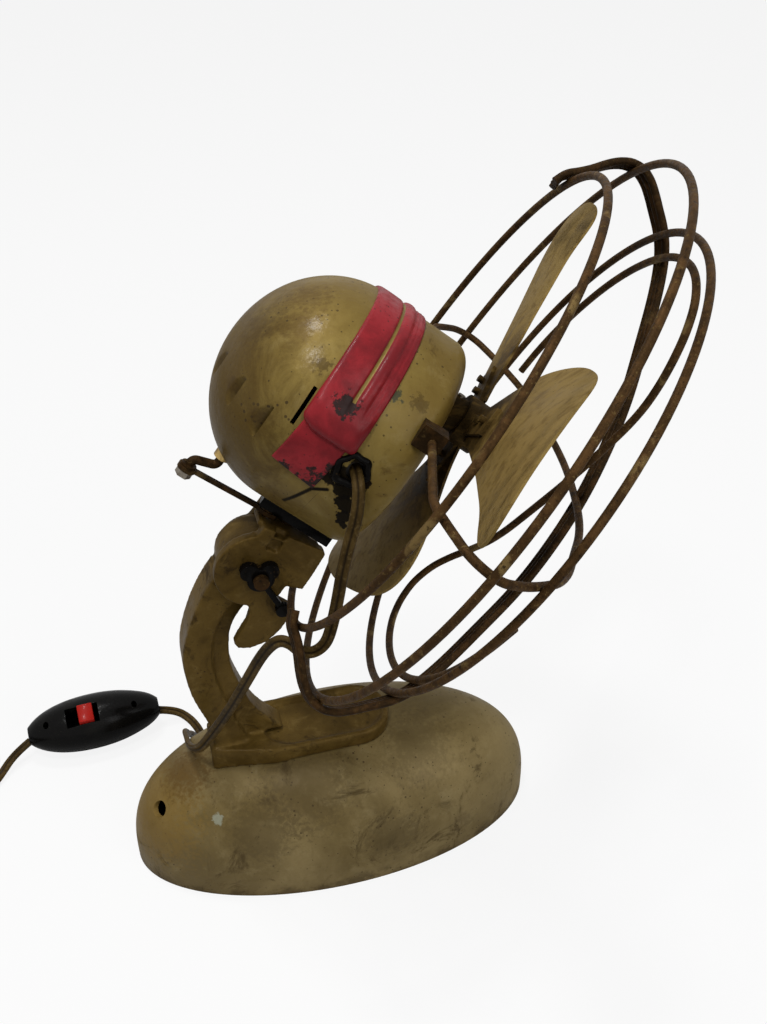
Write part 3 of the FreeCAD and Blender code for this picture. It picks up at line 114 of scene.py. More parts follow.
class Shader:
    """A material's node tree, built one node at a time on Object coordinates."""

    def __init__(self, name: str) -> None:
        """Starts the tree with its Principled shader.

        Args:
            name: The material's name.
        """
        self.material = bpy.data.materials.new(name)
        self.material.use_nodes = True
        self.nodes = self.material.node_tree.nodes
        self.links = self.material.node_tree.links
        self.surface = self.nodes["Principled BSDF"]
        self.place = self.nodes.new("ShaderNodeTexCoord").outputs["Object"]

    def _feed(self, socket: bpy.types.NodeSocket, value: object) -> None:
        """Links a socket, or writes a number or colour on it.

        Args:
            socket: The input to fill.
            value: Another node's output, a number or a colour.
        """
        if isinstance(value, bpy.types.NodeSocket):
            self.links.new(value, socket)
        elif isinstance(value, tuple) and socket.type == "RGBA":
            socket.default_value = (*value[:3], 1.0)
        else:
            socket.default_value = value

    def noise(
        self,
        scale: float,
        detail: float = 5.0,
        rough: float = 0.55,
        warp: float = 0.0,
        place: bpy.types.NodeSocket | None = None,
    ) -> bpy.types.NodeSocket:
        """Adds cloudy noise.

        Args:
            scale: Cycles a metre.
            detail: Octaves.
            rough: Share of the fine octaves.
            warp: Distortion.
            place: Coordinates, or None for the object's own.

        Returns:
            The noise's value, 0 to 1.
        """
        node = self.nodes.new("ShaderNodeTexNoise")
        self.links.new(place or self.place, node.inputs["Vector"])
        for key, value in (
            ("Scale", scale), ("Detail", detail), ("Roughness", rough), ("Distortion", warp)
        ):
            node.inputs[key].default_value = value
        return node.outputs["Fac"]

    def cells(
        self, scale: float, pattern: Pattern = Pattern.ROUND, jitter: float = 1.0
    ) -> bpy.types.NodeSocket:
        """Adds a cell pattern.

        Args:
            scale: Cells a metre.
            pattern: The measure that is read.
            jitter: Irregularity.

        Returns:
            The distance read from the cells.
        """
        node = self.nodes.new("ShaderNodeTexVoronoi")
        node.feature = pattern.value
        self.links.new(self.place, node.inputs["Vector"])
        node.inputs["Scale"].default_value = scale
        node.inputs["Randomness"].default_value = jitter
        return node.outputs["Distance"]

    def stretched(self, factors: Point, turn: Point = (0.0, 0.0, 0.0)) -> bpy.types.NodeSocket:
        """Gives the coordinates turned and stretched, for streaks.

        Args:
            factors: Scale along each axis.
            turn: Turn about each axis, in radians.

        Returns:
            The new coordinates.
        """
        node = self.nodes.new("ShaderNodeMapping")
        self.links.new(self.place, node.inputs["Vector"])
        node.inputs["Rotation"].default_value = turn
        node.inputs["Scale"].default_value = factors
        return node.outputs["Vector"]

    def level(
        self, value: object, low: float, high: float, start: float = 0.0, end: float = 1.0
    ) -> bpy.types.NodeSocket:
        """Maps a value smoothly from one range to another.

        Args:
            value: The value to map.
            low: Where the step begins.
            high: Where the step ends.
            start: Result below the step.
            end: Result above the step.

        Returns:
            The mapped value.
        """
        node = self.nodes.new("ShaderNodeMapRange")
        node.interpolation_type = "SMOOTHSTEP"
        for key, item in (
            ("Value", value), ("From Min", low), ("From Max", high), ("To Min", start),
            ("To Max", end),
        ):
            self._feed(node.inputs[key], item)
        return node.outputs["Result"]

    def vector(self, operation: str, first: object, second: object = None) -> bpy.types.Node:
        """Adds one vector node.

        Args:
            operation: What it works out.
            first: Its first input.
            second: Its second input, or None.

        Returns:
            The node.
        """
        node = self.nodes.new("ShaderNodeVectorMath")
        node.operation = operation
        self._feed(node.inputs[0], first)
        if second is not None:
            self._feed(node.inputs[1], second)
        return node

    def maths(self, operation: str, first: object, second: object = 0.0) -> bpy.types.NodeSocket:
        """Adds one arithmetic node and gives its result.

        Args:
            operation: What it works out.
            first: Its first input.
            second: Its second input.

        Returns:
            The node's result.
        """
        node = self.nodes.new("ShaderNodeMath")
        node.operation = operation
        self._feed(node.inputs[0], first)
        self._feed(node.inputs[1], second)
        return node.outputs[0]

    def mix(self, mask: object, under: object, over: object) -> bpy.types.NodeSocket:
        """Lays one colour over another through a mask.

        Args:
            mask: 0 shows the lower colour, 1 the upper one.
            under: The lower colour.
            over: The upper colour.

        Returns:
            The mixed colour.
        """
        node = self.nodes.new("ShaderNodeMix")
        node.data_type = "RGBA"
        node.clamp_factor = True
        self._feed(node.inputs["Factor"], mask)
        self._feed(node.inputs[6], under)
        self._feed(node.inputs[7], over)
        return node.outputs[2]

    def near(self, point: Point, radius: float, fuzz: float, ragged: float = 0.0) -> object:
        """Makes a mask round one place.

        Args:
            point: The place, in metres.
            radius: How far the mask reaches.
            fuzz: Width of its soft edge.
            ragged: How far noise moves its edge.

        Returns:
            A mask, 1 at the place.
        """
        reach = self.vector("DISTANCE", self.place, point).outputs["Value"]
        if ragged:
            wander = self.level(self.noise(420.0, 6.0, 0.65), 0.25, 0.75, -ragged, ragged)
            reach = self.maths("ADD", reach, wander)
        return self.level(reach, radius - fuzz, radius + fuzz, 1.0, 0.0)

    def along(self, start: Point, direction: Point) -> bpy.types.NodeSocket:
        """Gives the distance in metres past a point along a direction.

        Args:
            start: The point.
            direction: The direction, of any length.

        Returns:
            The distance, below zero before the point.
        """
        way = Vector(direction).normalized()
        reach = self.vector("DOT_PRODUCT", self.place, way).outputs["Value"]
        return self.maths("SUBTRACT", reach, way.dot(Vector(start)))

    def bump(self, height: object, strength: float, reach: float) -> None:
        """Presses a height pattern in the surface.

        Args:
            height: The pattern.
            strength: How strongly it shows.
            reach: Its depth, in metres.
        """
        node = self.nodes.new("ShaderNodeBump")
        node.inputs["Strength"].default_value = strength
        node.inputs["Distance"].default_value = reach
        self._feed(node.inputs["Height"], height)
        self.links.new(node.outputs["Normal"], self.surface.inputs["Normal"])
        self.links.new(node.outputs["Normal"], self.surface.inputs["Coat Normal"])

    def finish(self, **sockets: object) -> bpy.types.Material:
        """Fills the shader's own sockets.

        Args:
            **sockets: Values by socket name, with _ for a space.

        Returns:
            The material.
        """
        for key, value in sockets.items():
            self._feed(self.surface.inputs[key.replace("_", " ")], value)
        return self.material


@dataclass(frozen=True)
class Mark:
    """One stain, chip or dent of a finish, or a spot of painted shade, at its place."""

    place: Point
    radius: float
    colour: Colour
    share: float = 0.85
    ragged: float = 0.0012
    fuzz: float = 0.0008


@dataclass(frozen=True)
class WornPaint:
    """Sprayed metallic enamel on a casting: clouds, mottle, grime, specks and chips; optionally
    painted shade on one side and a darkening towards the bottom.
    """

    name: str
    body: Colour
    dark: Colour
    pale: Colour
    grime: Colour
    chip: Colour = (0.020, 0.012, 0.006)
    grime_from: float = 0.56
    speck_size: float = 0.16
    roughness: tuple[float, float] = (0.36, 0.62)
    metal: float = 0.22
    scale: float = 1.0
    marks: tuple[Mark, ...] = ()
    darker_below: tuple[float, float] | None = None
    # Painted shade: this colour darkens one side beyond a plane through a point, up to a reach.
    side_shade: Colour = (0.060, 0.034, 0.006)
    side_shade_from: Point = (0.0, 0.0, 0.0)
    side_shade_way: Point | None = None
    side_shade_reach: float = 0.030
    specular: float = 0.10
    coat: float = 0.0

    def build(self) -> bpy.types.Material:
        """Builds the paint and gives its material.

        Returns:
            The material.
        """
        sh = Shader(self.name)
        cloud = sh.noise(17.0 * self.scale, 5.0, 0.6, 0.8)
        mottle = sh.noise(85.0 * self.scale, 8.0, 0.68, 0.3)
        grain = sh.noise(900.0, 3.0, 0.6)
        colour = sh.mix(sh.level(cloud, 0.34, 0.66), self.dark, self.body)
        colour = sh.mix(sh.level(mottle, 0.50, 0.76, 0.0, 0.55), colour, self.pale)
        colour = sh.mix(sh.level(mottle, 0.47, 0.30, 0.0, 0.45), colour, self.dark)
        patch = sh.noise(34.0 * self.scale, 10.0, 0.72, 1.4)
        grime = sh.level(patch, self.grime_from, self.grime_from + 0.13, 0.0, 0.78)
        colour = sh.mix(grime, colour, self.grime)
        streaks = sh.noise(260.0, 5.0, 0.6, 0.2, sh.stretched((1.0, 1.0, 0.10)))
        colour = sh.mix(sh.level(streaks, 0.60, 0.74, 0.0, 0.22), colour, self.grime)
        # Darker towards the bottom: below a height the colour darkens towards the grime colour.
        if self.darker_below is not None:
            height = sh.along((0.0, 0.0, self.darker_below[0]), (0.0, 0.0, -1.0))
            height = sh.maths("ADD", height, sh.level(mottle, 0.3, 0.7, -0.006, 0.006))
            colour = sh.mix(sh.level(height, 0.0, self.darker_below[1], 0.0, 0.7), colour, self.grime)
        # Painted shade: past the plane the colour darkens towards one side, in place of that side's
        # shade.
        if self.side_shade_way is not None:
            depth = sh.along(self.side_shade_from, self.side_shade_way)
            depth = sh.maths("ADD", depth, sh.level(patch, 0.3, 0.7, -0.016, 0.016))
            colour = sh.mix(sh.level(depth, 0.0, self.side_shade_reach, 0.0, 0.86), colour, self.side_shade)
        crowd = sh.noise(48.0, 4.0, 0.6)
        size = sh.level(crowd, 0.42, 0.72, self.speck_size * 0.35, self.speck_size)
        specks = sh.maths("LESS_THAN", sh.cells(310.0), size)
        dots = sh.maths("LESS_THAN", sh.cells(120.0), sh.level(crowd, 0.5, 0.8, 0.02, 0.11))
        colour = sh.mix(sh.maths("MULTIPLY", specks, 0.72), colour, self.chip)
        colour = sh.mix(sh.maths("MULTIPLY", dots, 0.85), colour, self.chip)
        dull: object = 0.0
        for mark in self.marks:
            mask = sh.near(mark.place, mark.radius, mark.fuzz, mark.ragged)
            colour = sh.mix(sh.maths("MULTIPLY", mask, mark.share), colour, mark.colour)
            if mark.share > 0.9:
                dull = sh.maths("MAXIMUM", dull, mask)
        shade = sh.maths("MULTIPLY", sh.level(grain, 0.35, 0.7, 0.0, 0.16),
                         sh.maths("SUBTRACT", 1.0, dull))
        colour = sh.mix(shade, colour, self.dark)
        rough = sh.maths("ADD", sh.level(mottle, 0.3, 0.72, *self.roughness),
                         sh.maths("MULTIPLY", grime, 0.22))
        relief = sh.maths("ADD", sh.maths("MULTIPLY", sh.cells(430.0, Pattern.SOFT), 0.5),
                          sh.maths("MULTIPLY", mottle, 0.9))
        relief = sh.maths("SUBTRACT", relief, sh.maths("MULTIPLY", dots, 0.6))
        sh.bump(relief, 0.32, 0.0006)
        return sh.finish(Base_Color=colour, Roughness=rough, Metallic=self.metal,
                         Specular_IOR_Level=sh.level(dull, 0.0, 1.0, self.specular, 0.02),
                         Coat_Weight=sh.level(dull, 0.0, 1.0, self.coat, 0.01),
                         Coat_Roughness=0.20)


@dataclass(frozen=True)
class ChippedEnamel:
    """Thick glossy enamel that is chipped to black primer along its edges."""

    name: str
    body: Colour
    deep: Colour
    chip: Colour = (0.010, 0.007, 0.006)
    chip_from: float = 0.66
    marks: tuple[Mark, ...] = ()
    roughness: tuple[float, float] = (0.30, 0.55)
    coat: float = 0.06
    specular: float = 0.12

    def build(self) -> bpy.types.Material:
        """Builds the enamel and gives its material.

        Returns:
            The material.
        """
        sh = Shader(self.name)
        cloud = sh.noise(60.0, 6.0, 0.62, 0.5)
        fine = sh.noise(330.0, 7.0, 0.66)
        colour = sh.mix(sh.level(cloud, 0.36, 0.66), self.deep, self.body)
        colour = sh.mix(sh.level(fine, 0.50, 0.72, 0.0, 0.5), colour, self.deep)
        worn = sh.maths("ADD", sh.maths("MULTIPLY", cloud, 0.55), sh.maths("MULTIPLY", fine, 0.45))
        chips = sh.level(worn, self.chip_from, self.chip_from + 0.02)
        for mark in self.marks:
            spot = sh.near(mark.place, mark.radius, mark.fuzz, mark.ragged)
            chips = sh.maths("MAXIMUM", chips, sh.maths("MULTIPLY", spot, mark.share))
        specks = sh.maths("LESS_THAN", sh.cells(420.0), sh.level(cloud, 0.45, 0.7, 0.02, 0.2))
        colour = sh.mix(sh.maths("MULTIPLY", specks, 0.6), colour, self.chip)
        colour = sh.mix(chips, colour, self.chip)
        rough = sh.maths("ADD", sh.level(fine, 0.3, 0.7, *self.roughness),
                         sh.maths("MULTIPLY", chips, 0.3))
        relief = sh.maths("SUBTRACT", sh.maths("MULTIPLY", fine, 0.5), chips)
        sh.bump(relief, 0.35, 0.0005)
        return sh.finish(Base_Color=colour, Roughness=rough, Specular_IOR_Level=self.specular,
                         Coat_Weight=self.coat, Coat_Roughness=0.14)


@dataclass(frozen=True)
class RustyMetal:
    """Old plated or painted steel that has gone brown: rust, residue of paint and dark pits."""

    name: str
    body: Colour
    rust: Colour
    residue: Colour
    pit: Colour = (0.008, 0.005, 0.003)
    residue_from: float = 0.56
    metal: float = 0.35
    roughness: tuple[float, float] = (0.42, 0.78)

    def build(self) -> bpy.types.Material:
        """Builds the rust and gives its material.

        Returns:
            The material.
        """
        sh = Shader(self.name)
        broad = sh.noise(40.0, 6.0, 0.65, 0.6)
        fine = sh.noise(520.0, 8.0, 0.7, 0.3)
        middle = sh.noise(150.0, 7.0, 0.68, 0.4)
        colour = sh.mix(sh.level(middle, 0.42, 0.62), self.body, self.rust)
        colour = sh.mix(sh.level(broad, self.residue_from, self.residue_from + 0.10, 0.0, 0.8),
                        colour, self.residue)
        colour = sh.mix(sh.level(fine, 0.56, 0.66, 0.0, 0.6), colour, self.residue)
        colour = sh.mix(sh.level(fine, 0.44, 0.34, 0.0, 0.8), colour, self.pit)
        rough = sh.level(fine, 0.35, 0.7, *self.roughness)
        sh.bump(sh.maths("ADD", fine, sh.maths("MULTIPLY", middle, 0.6)), 0.45, 0.0004)
        return sh.finish(Base_Color=colour, Roughness=rough, Metallic=self.metal,
                         Specular_IOR_Level=0.03)


@dataclass(frozen=True)
class BladePaint:
    """Metallic enamel on a thin blade, dusty at the tip and greasy dark towards the hub."""

    name: str
    tip: Colour
    root: Colour
    grease: Colour
    axis_point: Point
    axis: Point

    def build(self) -> bpy.types.Material:
        """Builds the blade's finish and gives its material.

        Returns:
            The material.
        """
        sh = Shader(self.name)
        shift = sh.vector("SUBTRACT", sh.place, self.axis_point)
        cross = sh.vector("CROSS_PRODUCT", shift.outputs[0], Vector(self.axis).normalized())
        size = sh.vector("LENGTH", cross.outputs[0])
        cloud = sh.noise(38.0, 7.0, 0.66, 0.8)
        fine = sh.noise(420.0, 6.0, 0.66)
        reach = sh.maths("ADD", size.outputs["Value"], sh.level(cloud, 0.25, 0.75, -0.022, 0.022))
        colour = sh.mix(sh.level(reach, 0.020, 0.062), self.root, self.tip)
        colour = sh.mix(sh.level(reach, 0.046, 0.014, 0.0, 0.92), colour, self.grease)
        colour = sh.mix(sh.level(cloud, 0.58, 0.72, 0.0, 0.5), colour, self.grease)
        brushed = sh.noise(300.0, 6.0, 0.6, 0.2, sh.stretched((0.2, 1.0, 1.0), (0.3, 0.9, 0.2)))
        colour = sh.mix(sh.level(brushed, 0.48, 0.66, 0.0, 0.55), colour, self.root)
        specks = sh.maths("LESS_THAN", sh.cells(300.0), sh.level(fine, 0.45, 0.75, 0.03, 0.17))
        colour = sh.mix(sh.maths("MULTIPLY", specks, 0.7), colour, self.grease)
        rough = sh.level(cloud, 0.3, 0.7, 0.42, 0.68)
        sh.bump(sh.maths("ADD", fine, sh.maths("MULTIPLY", cloud, 0.5)), 0.30, 0.0004)
        return sh.finish(Base_Color=colour, Roughness=rough, Metallic=0.28,
                         Specular_IOR_Level=0.03)


@dataclass(frozen=True)
class MouldedPlastic:
    """Hard moulded plastic with a fine skin, dust and hairline scratches."""

    name: str
    body: Colour
    dust: Colour
    dust_share: float = 0.10
    roughness: tuple[float, float] = (0.16, 0.34)
    coat: float = 0.04

    def build(self) -> bpy.types.Material:
        """Builds the plastic and gives its material.

        Returns:
            The material.
        """
        sh = Shader(self.name)
        cloud = sh.noise(70.0, 6.0, 0.62, 0.5)
        fine = sh.noise(700.0, 5.0, 0.6)
        colour = sh.mix(sh.level(cloud, 0.46, 0.74, 0.0, self.dust_share), self.body, self.dust)
        specks = sh.maths("LESS_THAN", sh.cells(520.0), 0.09)
        colour = sh.mix(sh.maths("MULTIPLY", specks, 0.5), colour, self.dust)
        rough = sh.maths("ADD", sh.level(fine, 0.3, 0.75, *self.roughness),
                         sh.level(cloud, 0.45, 0.7, 0.0, 0.16))
        sh.bump(sh.maths("ADD", fine, sh.maths("MULTIPLY", cloud, 0.6)), 0.10, 0.0003)
        return sh.finish(Base_Color=colour, Roughness=rough, Specular_IOR_Level=0.05,
                         Coat_Weight=self.coat, Coat_Roughness=0.12)


@dataclass(frozen=True)
class BareMetal:
    """Turned or rolled metal with tool marks and tarnish."""

    name: str
    body: Colour
    tarnish: Colour
    roughness: tuple[float, float] = (0.28, 0.50)
    tarnish_from: float = 0.48

    def build(self) -> bpy.types.Material:
        """Builds the metal and gives its material.

        Returns:
            The material.
        """
        sh = Shader(self.name)
        cloud = sh.noise(120.0, 7.0, 0.66, 0.6)
        turned = sh.noise(900.0, 3.0, 0.5, 0.0, sh.stretched((1.0, 0.15, 0.15)))
        colour = sh.mix(sh.level(cloud, self.tarnish_from, self.tarnish_from + 0.2, 0.0, 0.85),
                        self.body, self.tarnish)
        colour = sh.mix(sh.level(turned, 0.45, 0.75, 0.0, 0.3), colour, self.tarnish)
        rough = sh.level(cloud, 0.3, 0.7, *self.roughness)
        sh.bump(turned, 0.15, 0.0002)
        return sh.finish(Base_Color=colour, Roughness=rough, Metallic=0.85)


@dataclass(frozen=True)
class SoftRubber:
    """Aged rubber or woven tape, dull and dusty."""

    name: str
    body: Colour
    dust: Colour

    def build(self) -> bpy.types.Material:
        """Builds the rubber and gives its material.

        Returns:
            The material.
        """
        sh = Shader(self.name)
        cloud = sh.noise(130.0, 7.0, 0.66)
        weave = sh.cells(800.0, Pattern.SOFT)
        colour = sh.mix(sh.level(cloud, 0.42, 0.72, 0.0, 0.7), self.body, self.dust)
        sh.bump(sh.maths("ADD", cloud, sh.maths("MULTIPLY", weave, 0.5)), 0.3, 0.0004)
        return sh.finish(Base_Color=colour, Roughness=sh.level(cloud, 0.3, 0.7, 0.62, 0.86))


@dataclass(frozen=True)
class FlexSheath:
    """Old two-core flex: brown-gold plastic, a dark line of painted shade in the groove between its
    cores, grime in bands.
    """

    name: str
    body: Colour
    dark: Colour
    sheen: Colour

    def build(self) -> bpy.types.Material:
        """Builds the sheath and gives its material.

        Returns:
            The material.
        """
        sh = Shader(self.name)
        across = sh.nodes.new("ShaderNodeAttribute")
        across.attribute_name = "across"
        cloud = sh.noise(75.0, 7.0, 0.66, 0.5)
        fine = sh.noise(600.0, 5.0, 0.62)
        colour = sh.mix(sh.level(cloud, 0.36, 0.66), self.dark, self.body)
        colour = sh.mix(sh.level(fine, 0.52, 0.75, 0.0, 0.45), colour, self.sheen)
        # Painted shade: the groove between the cores is darkened almost to black.
        groove_shade = sh.level(across.outputs["Fac"], 0.0, 0.36, 0.85, 0.0)
        colour = sh.mix(groove_shade, colour, (0.010, 0.006, 0.003))
        sh.bump(sh.maths("ADD", fine, cloud), 0.2, 0.0003)
        return sh.finish(Base_Color=colour, Roughness=sh.level(cloud, 0.3, 0.7, 0.30, 0.52),
                         Specular_IOR_Level=0.03, Coat_Weight=0.01, Coat_Roughness=0.2)


@dataclass
class Palette:
    """Every finish of the fan, built once."""

    gold: bpy.types.Material = field(init=False)
    base_gold: bpy.types.Material = field(init=False)
    cast_gold: bpy.types.Material = field(init=False)
    red: bpy.types.Material = field(init=False)
    black: bpy.types.Material = field(init=False)
    wire: bpy.types.Material = field(init=False)
    dark_wire: bpy.types.Material = field(init=False)
    blade: bpy.types.Material = field(init=False)
    steel: bpy.types.Material = field(init=False)
    brass: bpy.types.Material = field(init=False)
    case: bpy.types.Material = field(init=False)
    tape: bpy.types.Material = field(init=False)
    rubber: bpy.types.Material = field(init=False)
    bakelite: bpy.types.Material = field(init=False)
    button: bpy.types.Material = field(init=False)
    flex: bpy.types.Material = field(init=False)
    tie: bpy.types.Material = field(init=False)

    def __post_init__(self) -> None:
        """Builds the materials."""
        chip = (0.014, 0.008, 0.004)
        self.gold = WornPaint(
            "gold_enamel", body=(0.196, 0.138, 0.036), dark=(0.130, 0.084, 0.018),
            pale=(0.262, 0.200, 0.076), grime=(0.060, 0.034, 0.008), grime_from=0.57,
            roughness=(0.40, 0.58), metal=0.16, marks=self._head_marks(), speck_size=0.22,
            coat=0.13, specular=0.04,
            # Painted shade: the motor's rear and underside are darkened past a plane, in place of
            # their shade.
            side_shade_from=in_head(-24, -20, 0), side_shade_way=self._head_way(-0.86, -0.10, -0.50),
            side_shade_reach=0.042,
        ).build()
        # The base darkens towards its bottom edge.
        self.base_gold = WornPaint(
            "base_enamel", body=(0.208, 0.154, 0.064), dark=(0.112, 0.078, 0.026),
            pale=(0.262, 0.204, 0.098), grime=(0.040, 0.024, 0.007), grime_from=0.55,
            roughness=(0.42, 0.62), metal=0.14, scale=0.8, specular=0.12, marks=self._base_marks(),
            darker_below=(0.008, 0.010), speck_size=0.20,
        ).build()
        self.cast_gold = WornPaint(
            "casting_enamel", body=(0.098, 0.060, 0.014), dark=(0.050, 0.029, 0.006),
            pale=(0.170, 0.114, 0.038), grime=(0.014, 0.008, 0.003), grime_from=0.54,
            roughness=(0.34, 0.56), metal=0.20, scale=1.5, specular=0.03, coat=0.03,
        ).build()
        self.red = ChippedEnamel(
            "red_enamel", body=(0.235, 0.013, 0.018), deep=(0.130, 0.007, 0.010),
            marks=self._band_marks(),
        ).build()
        self.black = ChippedEnamel(
            "black_enamel", body=(0.0032, 0.0026, 0.0022), deep=(0.0020, 0.0017, 0.0015),
            chip=(0.030, 0.018, 0.007), chip_from=0.64, roughness=(0.20, 0.38), coat=0.04,
            specular=0.03,
        ).build()
        self.wire = RustyMetal(
            "rusty_wire", body=(0.036, 0.019, 0.007), rust=(0.066, 0.034, 0.012),
            residue=(0.160, 0.108, 0.040),
        ).build()
        self.dark_wire = RustyMetal(
            "dark_rusty_wire", body=(0.018, 0.010, 0.004), rust=(0.040, 0.020, 0.007),
            residue=(0.084, 0.054, 0.020), residue_from=0.60,
        ).build()
        self.blade = BladePaint(
            "blade_enamel", tip=(0.205, 0.138, 0.044), root=(0.092, 0.054, 0.014),
            grease=(0.018, 0.011, 0.004), axis_point=in_head(0, 0, 0),
            axis=(0.759578, -0.336274, -0.556742),
        ).build()
        self.steel = BareMetal("old_steel", (0.24, 0.21, 0.17), (0.060, 0.042, 0.024)).build()
        self.brass = BareMetal("old_brass", (0.48, 0.33, 0.12), (0.13, 0.080, 0.030)).build()
        self.case = BareMetal("cast_case", (0.19, 0.18, 0.16), (0.085, 0.075, 0.060),
                              (0.45, 0.65)).build()
        self.tape = SoftRubber("coil_tape", (0.17, 0.115, 0.055), (0.070, 0.046, 0.024)).build()
        self.rubber = SoftRubber("black_rubber", (0.012, 0.011, 0.010), (0.040, 0.034, 0.026)
                                 ).build()
        self.bakelite = MouldedPlastic("black_bakelite", (0.0030, 0.0028, 0.0026),
                                       (0.030, 0.027, 0.020)).build()
        self.button = MouldedPlastic("red_button", (0.330, 0.012, 0.008), (0.14, 0.012, 0.008),
                                     roughness=(0.26, 0.42)).build()
        self.flex = FlexSheath("twin_flex", (0.074, 0.046, 0.014), (0.030, 0.018, 0.005),
                               (0.190, 0.132, 0.056)).build()
        self.tie = SoftRubber("paper_tie", (0.55, 0.52, 0.45), (0.36, 0.32, 0.25)).build()

    @staticmethod
    def _head_way(x: float, y: float, z: float) -> Point:
        """Turns a direction of the head into the row frame."""
        return tuple(HEAD.to_3x3() @ Vector((x, y, z)))

    @staticmethod
    def _head_marks() -> tuple[Mark, ...]:
        """Gives the stains and chips of the motor's shells, and painted shade in the louvres' dips.

        Returns:
            The marks.
        """
        dark, black, grime = (0.040, 0.022, 0.006), (0.0050, 0.0036, 0.0026), (0.075, 0.042, 0.010)
        rows = [
            Mark(in_head(-58, -14, 34), 0.0045, dark, 0.6),
            Mark(in_head(-38, -30, 40), 0.0030, dark, 0.7),
            Mark(in_head(-18, -47, 18), 0.0042, dark, 0.5),
            Mark(in_head(-1, -41, 4), 0.0026, (0.020, 0.032, 0.022), 0.85, 0.0024),
            Mark(in_head(9, -39, 6), 0.0034, dark, 0.55, 0.0020),
            Mark(in_head(14, -41, 14), 0.0030, dark, 0.4, 0.0022),
            Mark(in_head(-50, -20, 14), 0.0090, grime, 0.55, 0.0060, 0.0050),
            Mark(in_head(-44, -30, 2), 0.0060, grime, 0.45, 0.0050, 0.0040),
            Mark(in_head(-58, -22, -8), 0.0080, dark, 0.40, 0.0060, 0.0050),
            Mark(in_head(-30, -42, -2), 0.0030, dark, 0.6, 0.0026),
        ]
        for x, z, size in ((-5.5, -30.5, 3.4), (-4.5, -36.5, 3.0), (-0.5, -32.5, 5.0),
                           (2.5, -25.5, 4.2), (4.0, -37.0, 4.8), (8.0, -43.0, 4.6),
                           (11.0, -49.0, 3.6), (7.5, -30.0, 3.4), (13.0, -53.0, 2.6)):
            rows.append(Mark(on_barrel(x, z), size / 1000.0, black, 0.97, 0.0014, 0.0003))
        seam = ((-11.3, -60.5), (-8.1, -49.6), (-6.7, -45.4), (-1.0, -41.0))
        for (x0, z0), (x1, z1) in zip(seam, seam[1:]):
            steps = max(2, int(math.hypot(x1 - x0, z1 - z0) / 0.9))
            for i in range(steps):
                x, z = x0 + (x1 - x0) * i / steps, z0 + (z1 - z0) * i / steps
                rows.append(Mark(on_barrel(x, z), 0.0009, black, 0.95, 0.0, 0.0004))
        # Painted shade: darker spots in the three louvres' dips.
        for x, y, z in ((-64.0, -15.0, -32.5), (-53.8, -32.0, -32.0), (-39.6, -43.4, -32.5)):
            rows.append(Mark(in_head(x, y, z), 0.0034, dark, 0.55, 0.0010, 0.0016))
        return tuple(rows)

    @staticmethod
    def _base_marks() -> tuple[Mark, ...]:
        """Gives the stains of the base, and its dent as a near-black disc of painted shade.

        Returns:
            The marks.
        """
        dark, hole, pale = (0.050, 0.034, 0.014), (0.006, 0.004, 0.002), (0.270, 0.285, 0.215)
        gold, brown = (0.190, 0.112, 0.020), (0.070, 0.036, 0.007)
        return (
            Mark((-0.095, -0.010, 0.040), 0.0240, gold, 0.55, 0.0120, 0.0120),
            Mark((-0.078, -0.004, 0.062), 0.0130, brown, 0.70, 0.0070, 0.0070),
            Mark((-0.020, -0.030, 0.060), 0.0200, dark, 0.35, 0.0120, 0.0100),
            Mark((0.040, -0.020, 0.060), 0.0180, dark, 0.30, 0.0120, 0.0100),
            # Painted shade: the dent is drawn as a near-black disc.
            Mark((-0.106, -0.018, 0.034), 0.0040, hole, 0.95, 0.0005, 0.0006),
            Mark((-0.045, -0.040, 0.045), 0.0160, dark, 0.40, 0.0080, 0.0080),
            Mark((-0.066, -0.030, 0.050), 0.0028, pale, 0.75, 0.0012),
            Mark((0.020, -0.046, 0.030), 0.0140, dark, 0.35, 0.0080, 0.0080),
            Mark((0.060, -0.036, 0.018), 0.0070, dark, 0.40, 0.0040, 0.0040),
        )

    @staticmethod
    def _band_marks() -> tuple[Mark, ...]:
        """Gives the big chips of the red bands and of the plate under them.

        Returns:
            The marks.
        """
        black, blue = (0.0060, 0.0044, 0.0036), (0.013, 0.019, 0.021)
        return (
            Mark(in_head(-15.4, -50.2, -7.0), 0.0044, blue, 0.96, 0.0030),
            Mark(in_head(-12.0, -50.0, -4.0), 0.0022, blue, 0.9, 0.0022),
            Mark(in_head(-19.0, -50.2, -6.0), 0.0012, black, 0.8, 0.0016),
            Mark(in_head(-21.5, -46.4, -43.6), 0.0034, black, 0.98, 0.0024),
            Mark(in_head(-16.0, -46.0, -45.4), 0.0030, black, 0.98, 0.0026),
            Mark(in_head(-10.0, -46.2, -45.2), 0.0040, black, 0.98, 0.0026),
            Mark(in_head(-6.2, -48.0, -39.5), 0.0036, black, 0.98, 0.0024),
            Mark(in_head(-11.5, -48.6, -37.0), 0.0022, black, 0.95, 0.0020),
            Mark(in_head(-5.0, -49.6, -32.0), 0.0026, black, 0.98, 0.0018),
        )


# ---------------------------------------------------------------------------------------------
# Modelling helpers
# ---------------------------------------------------------------------------------------------


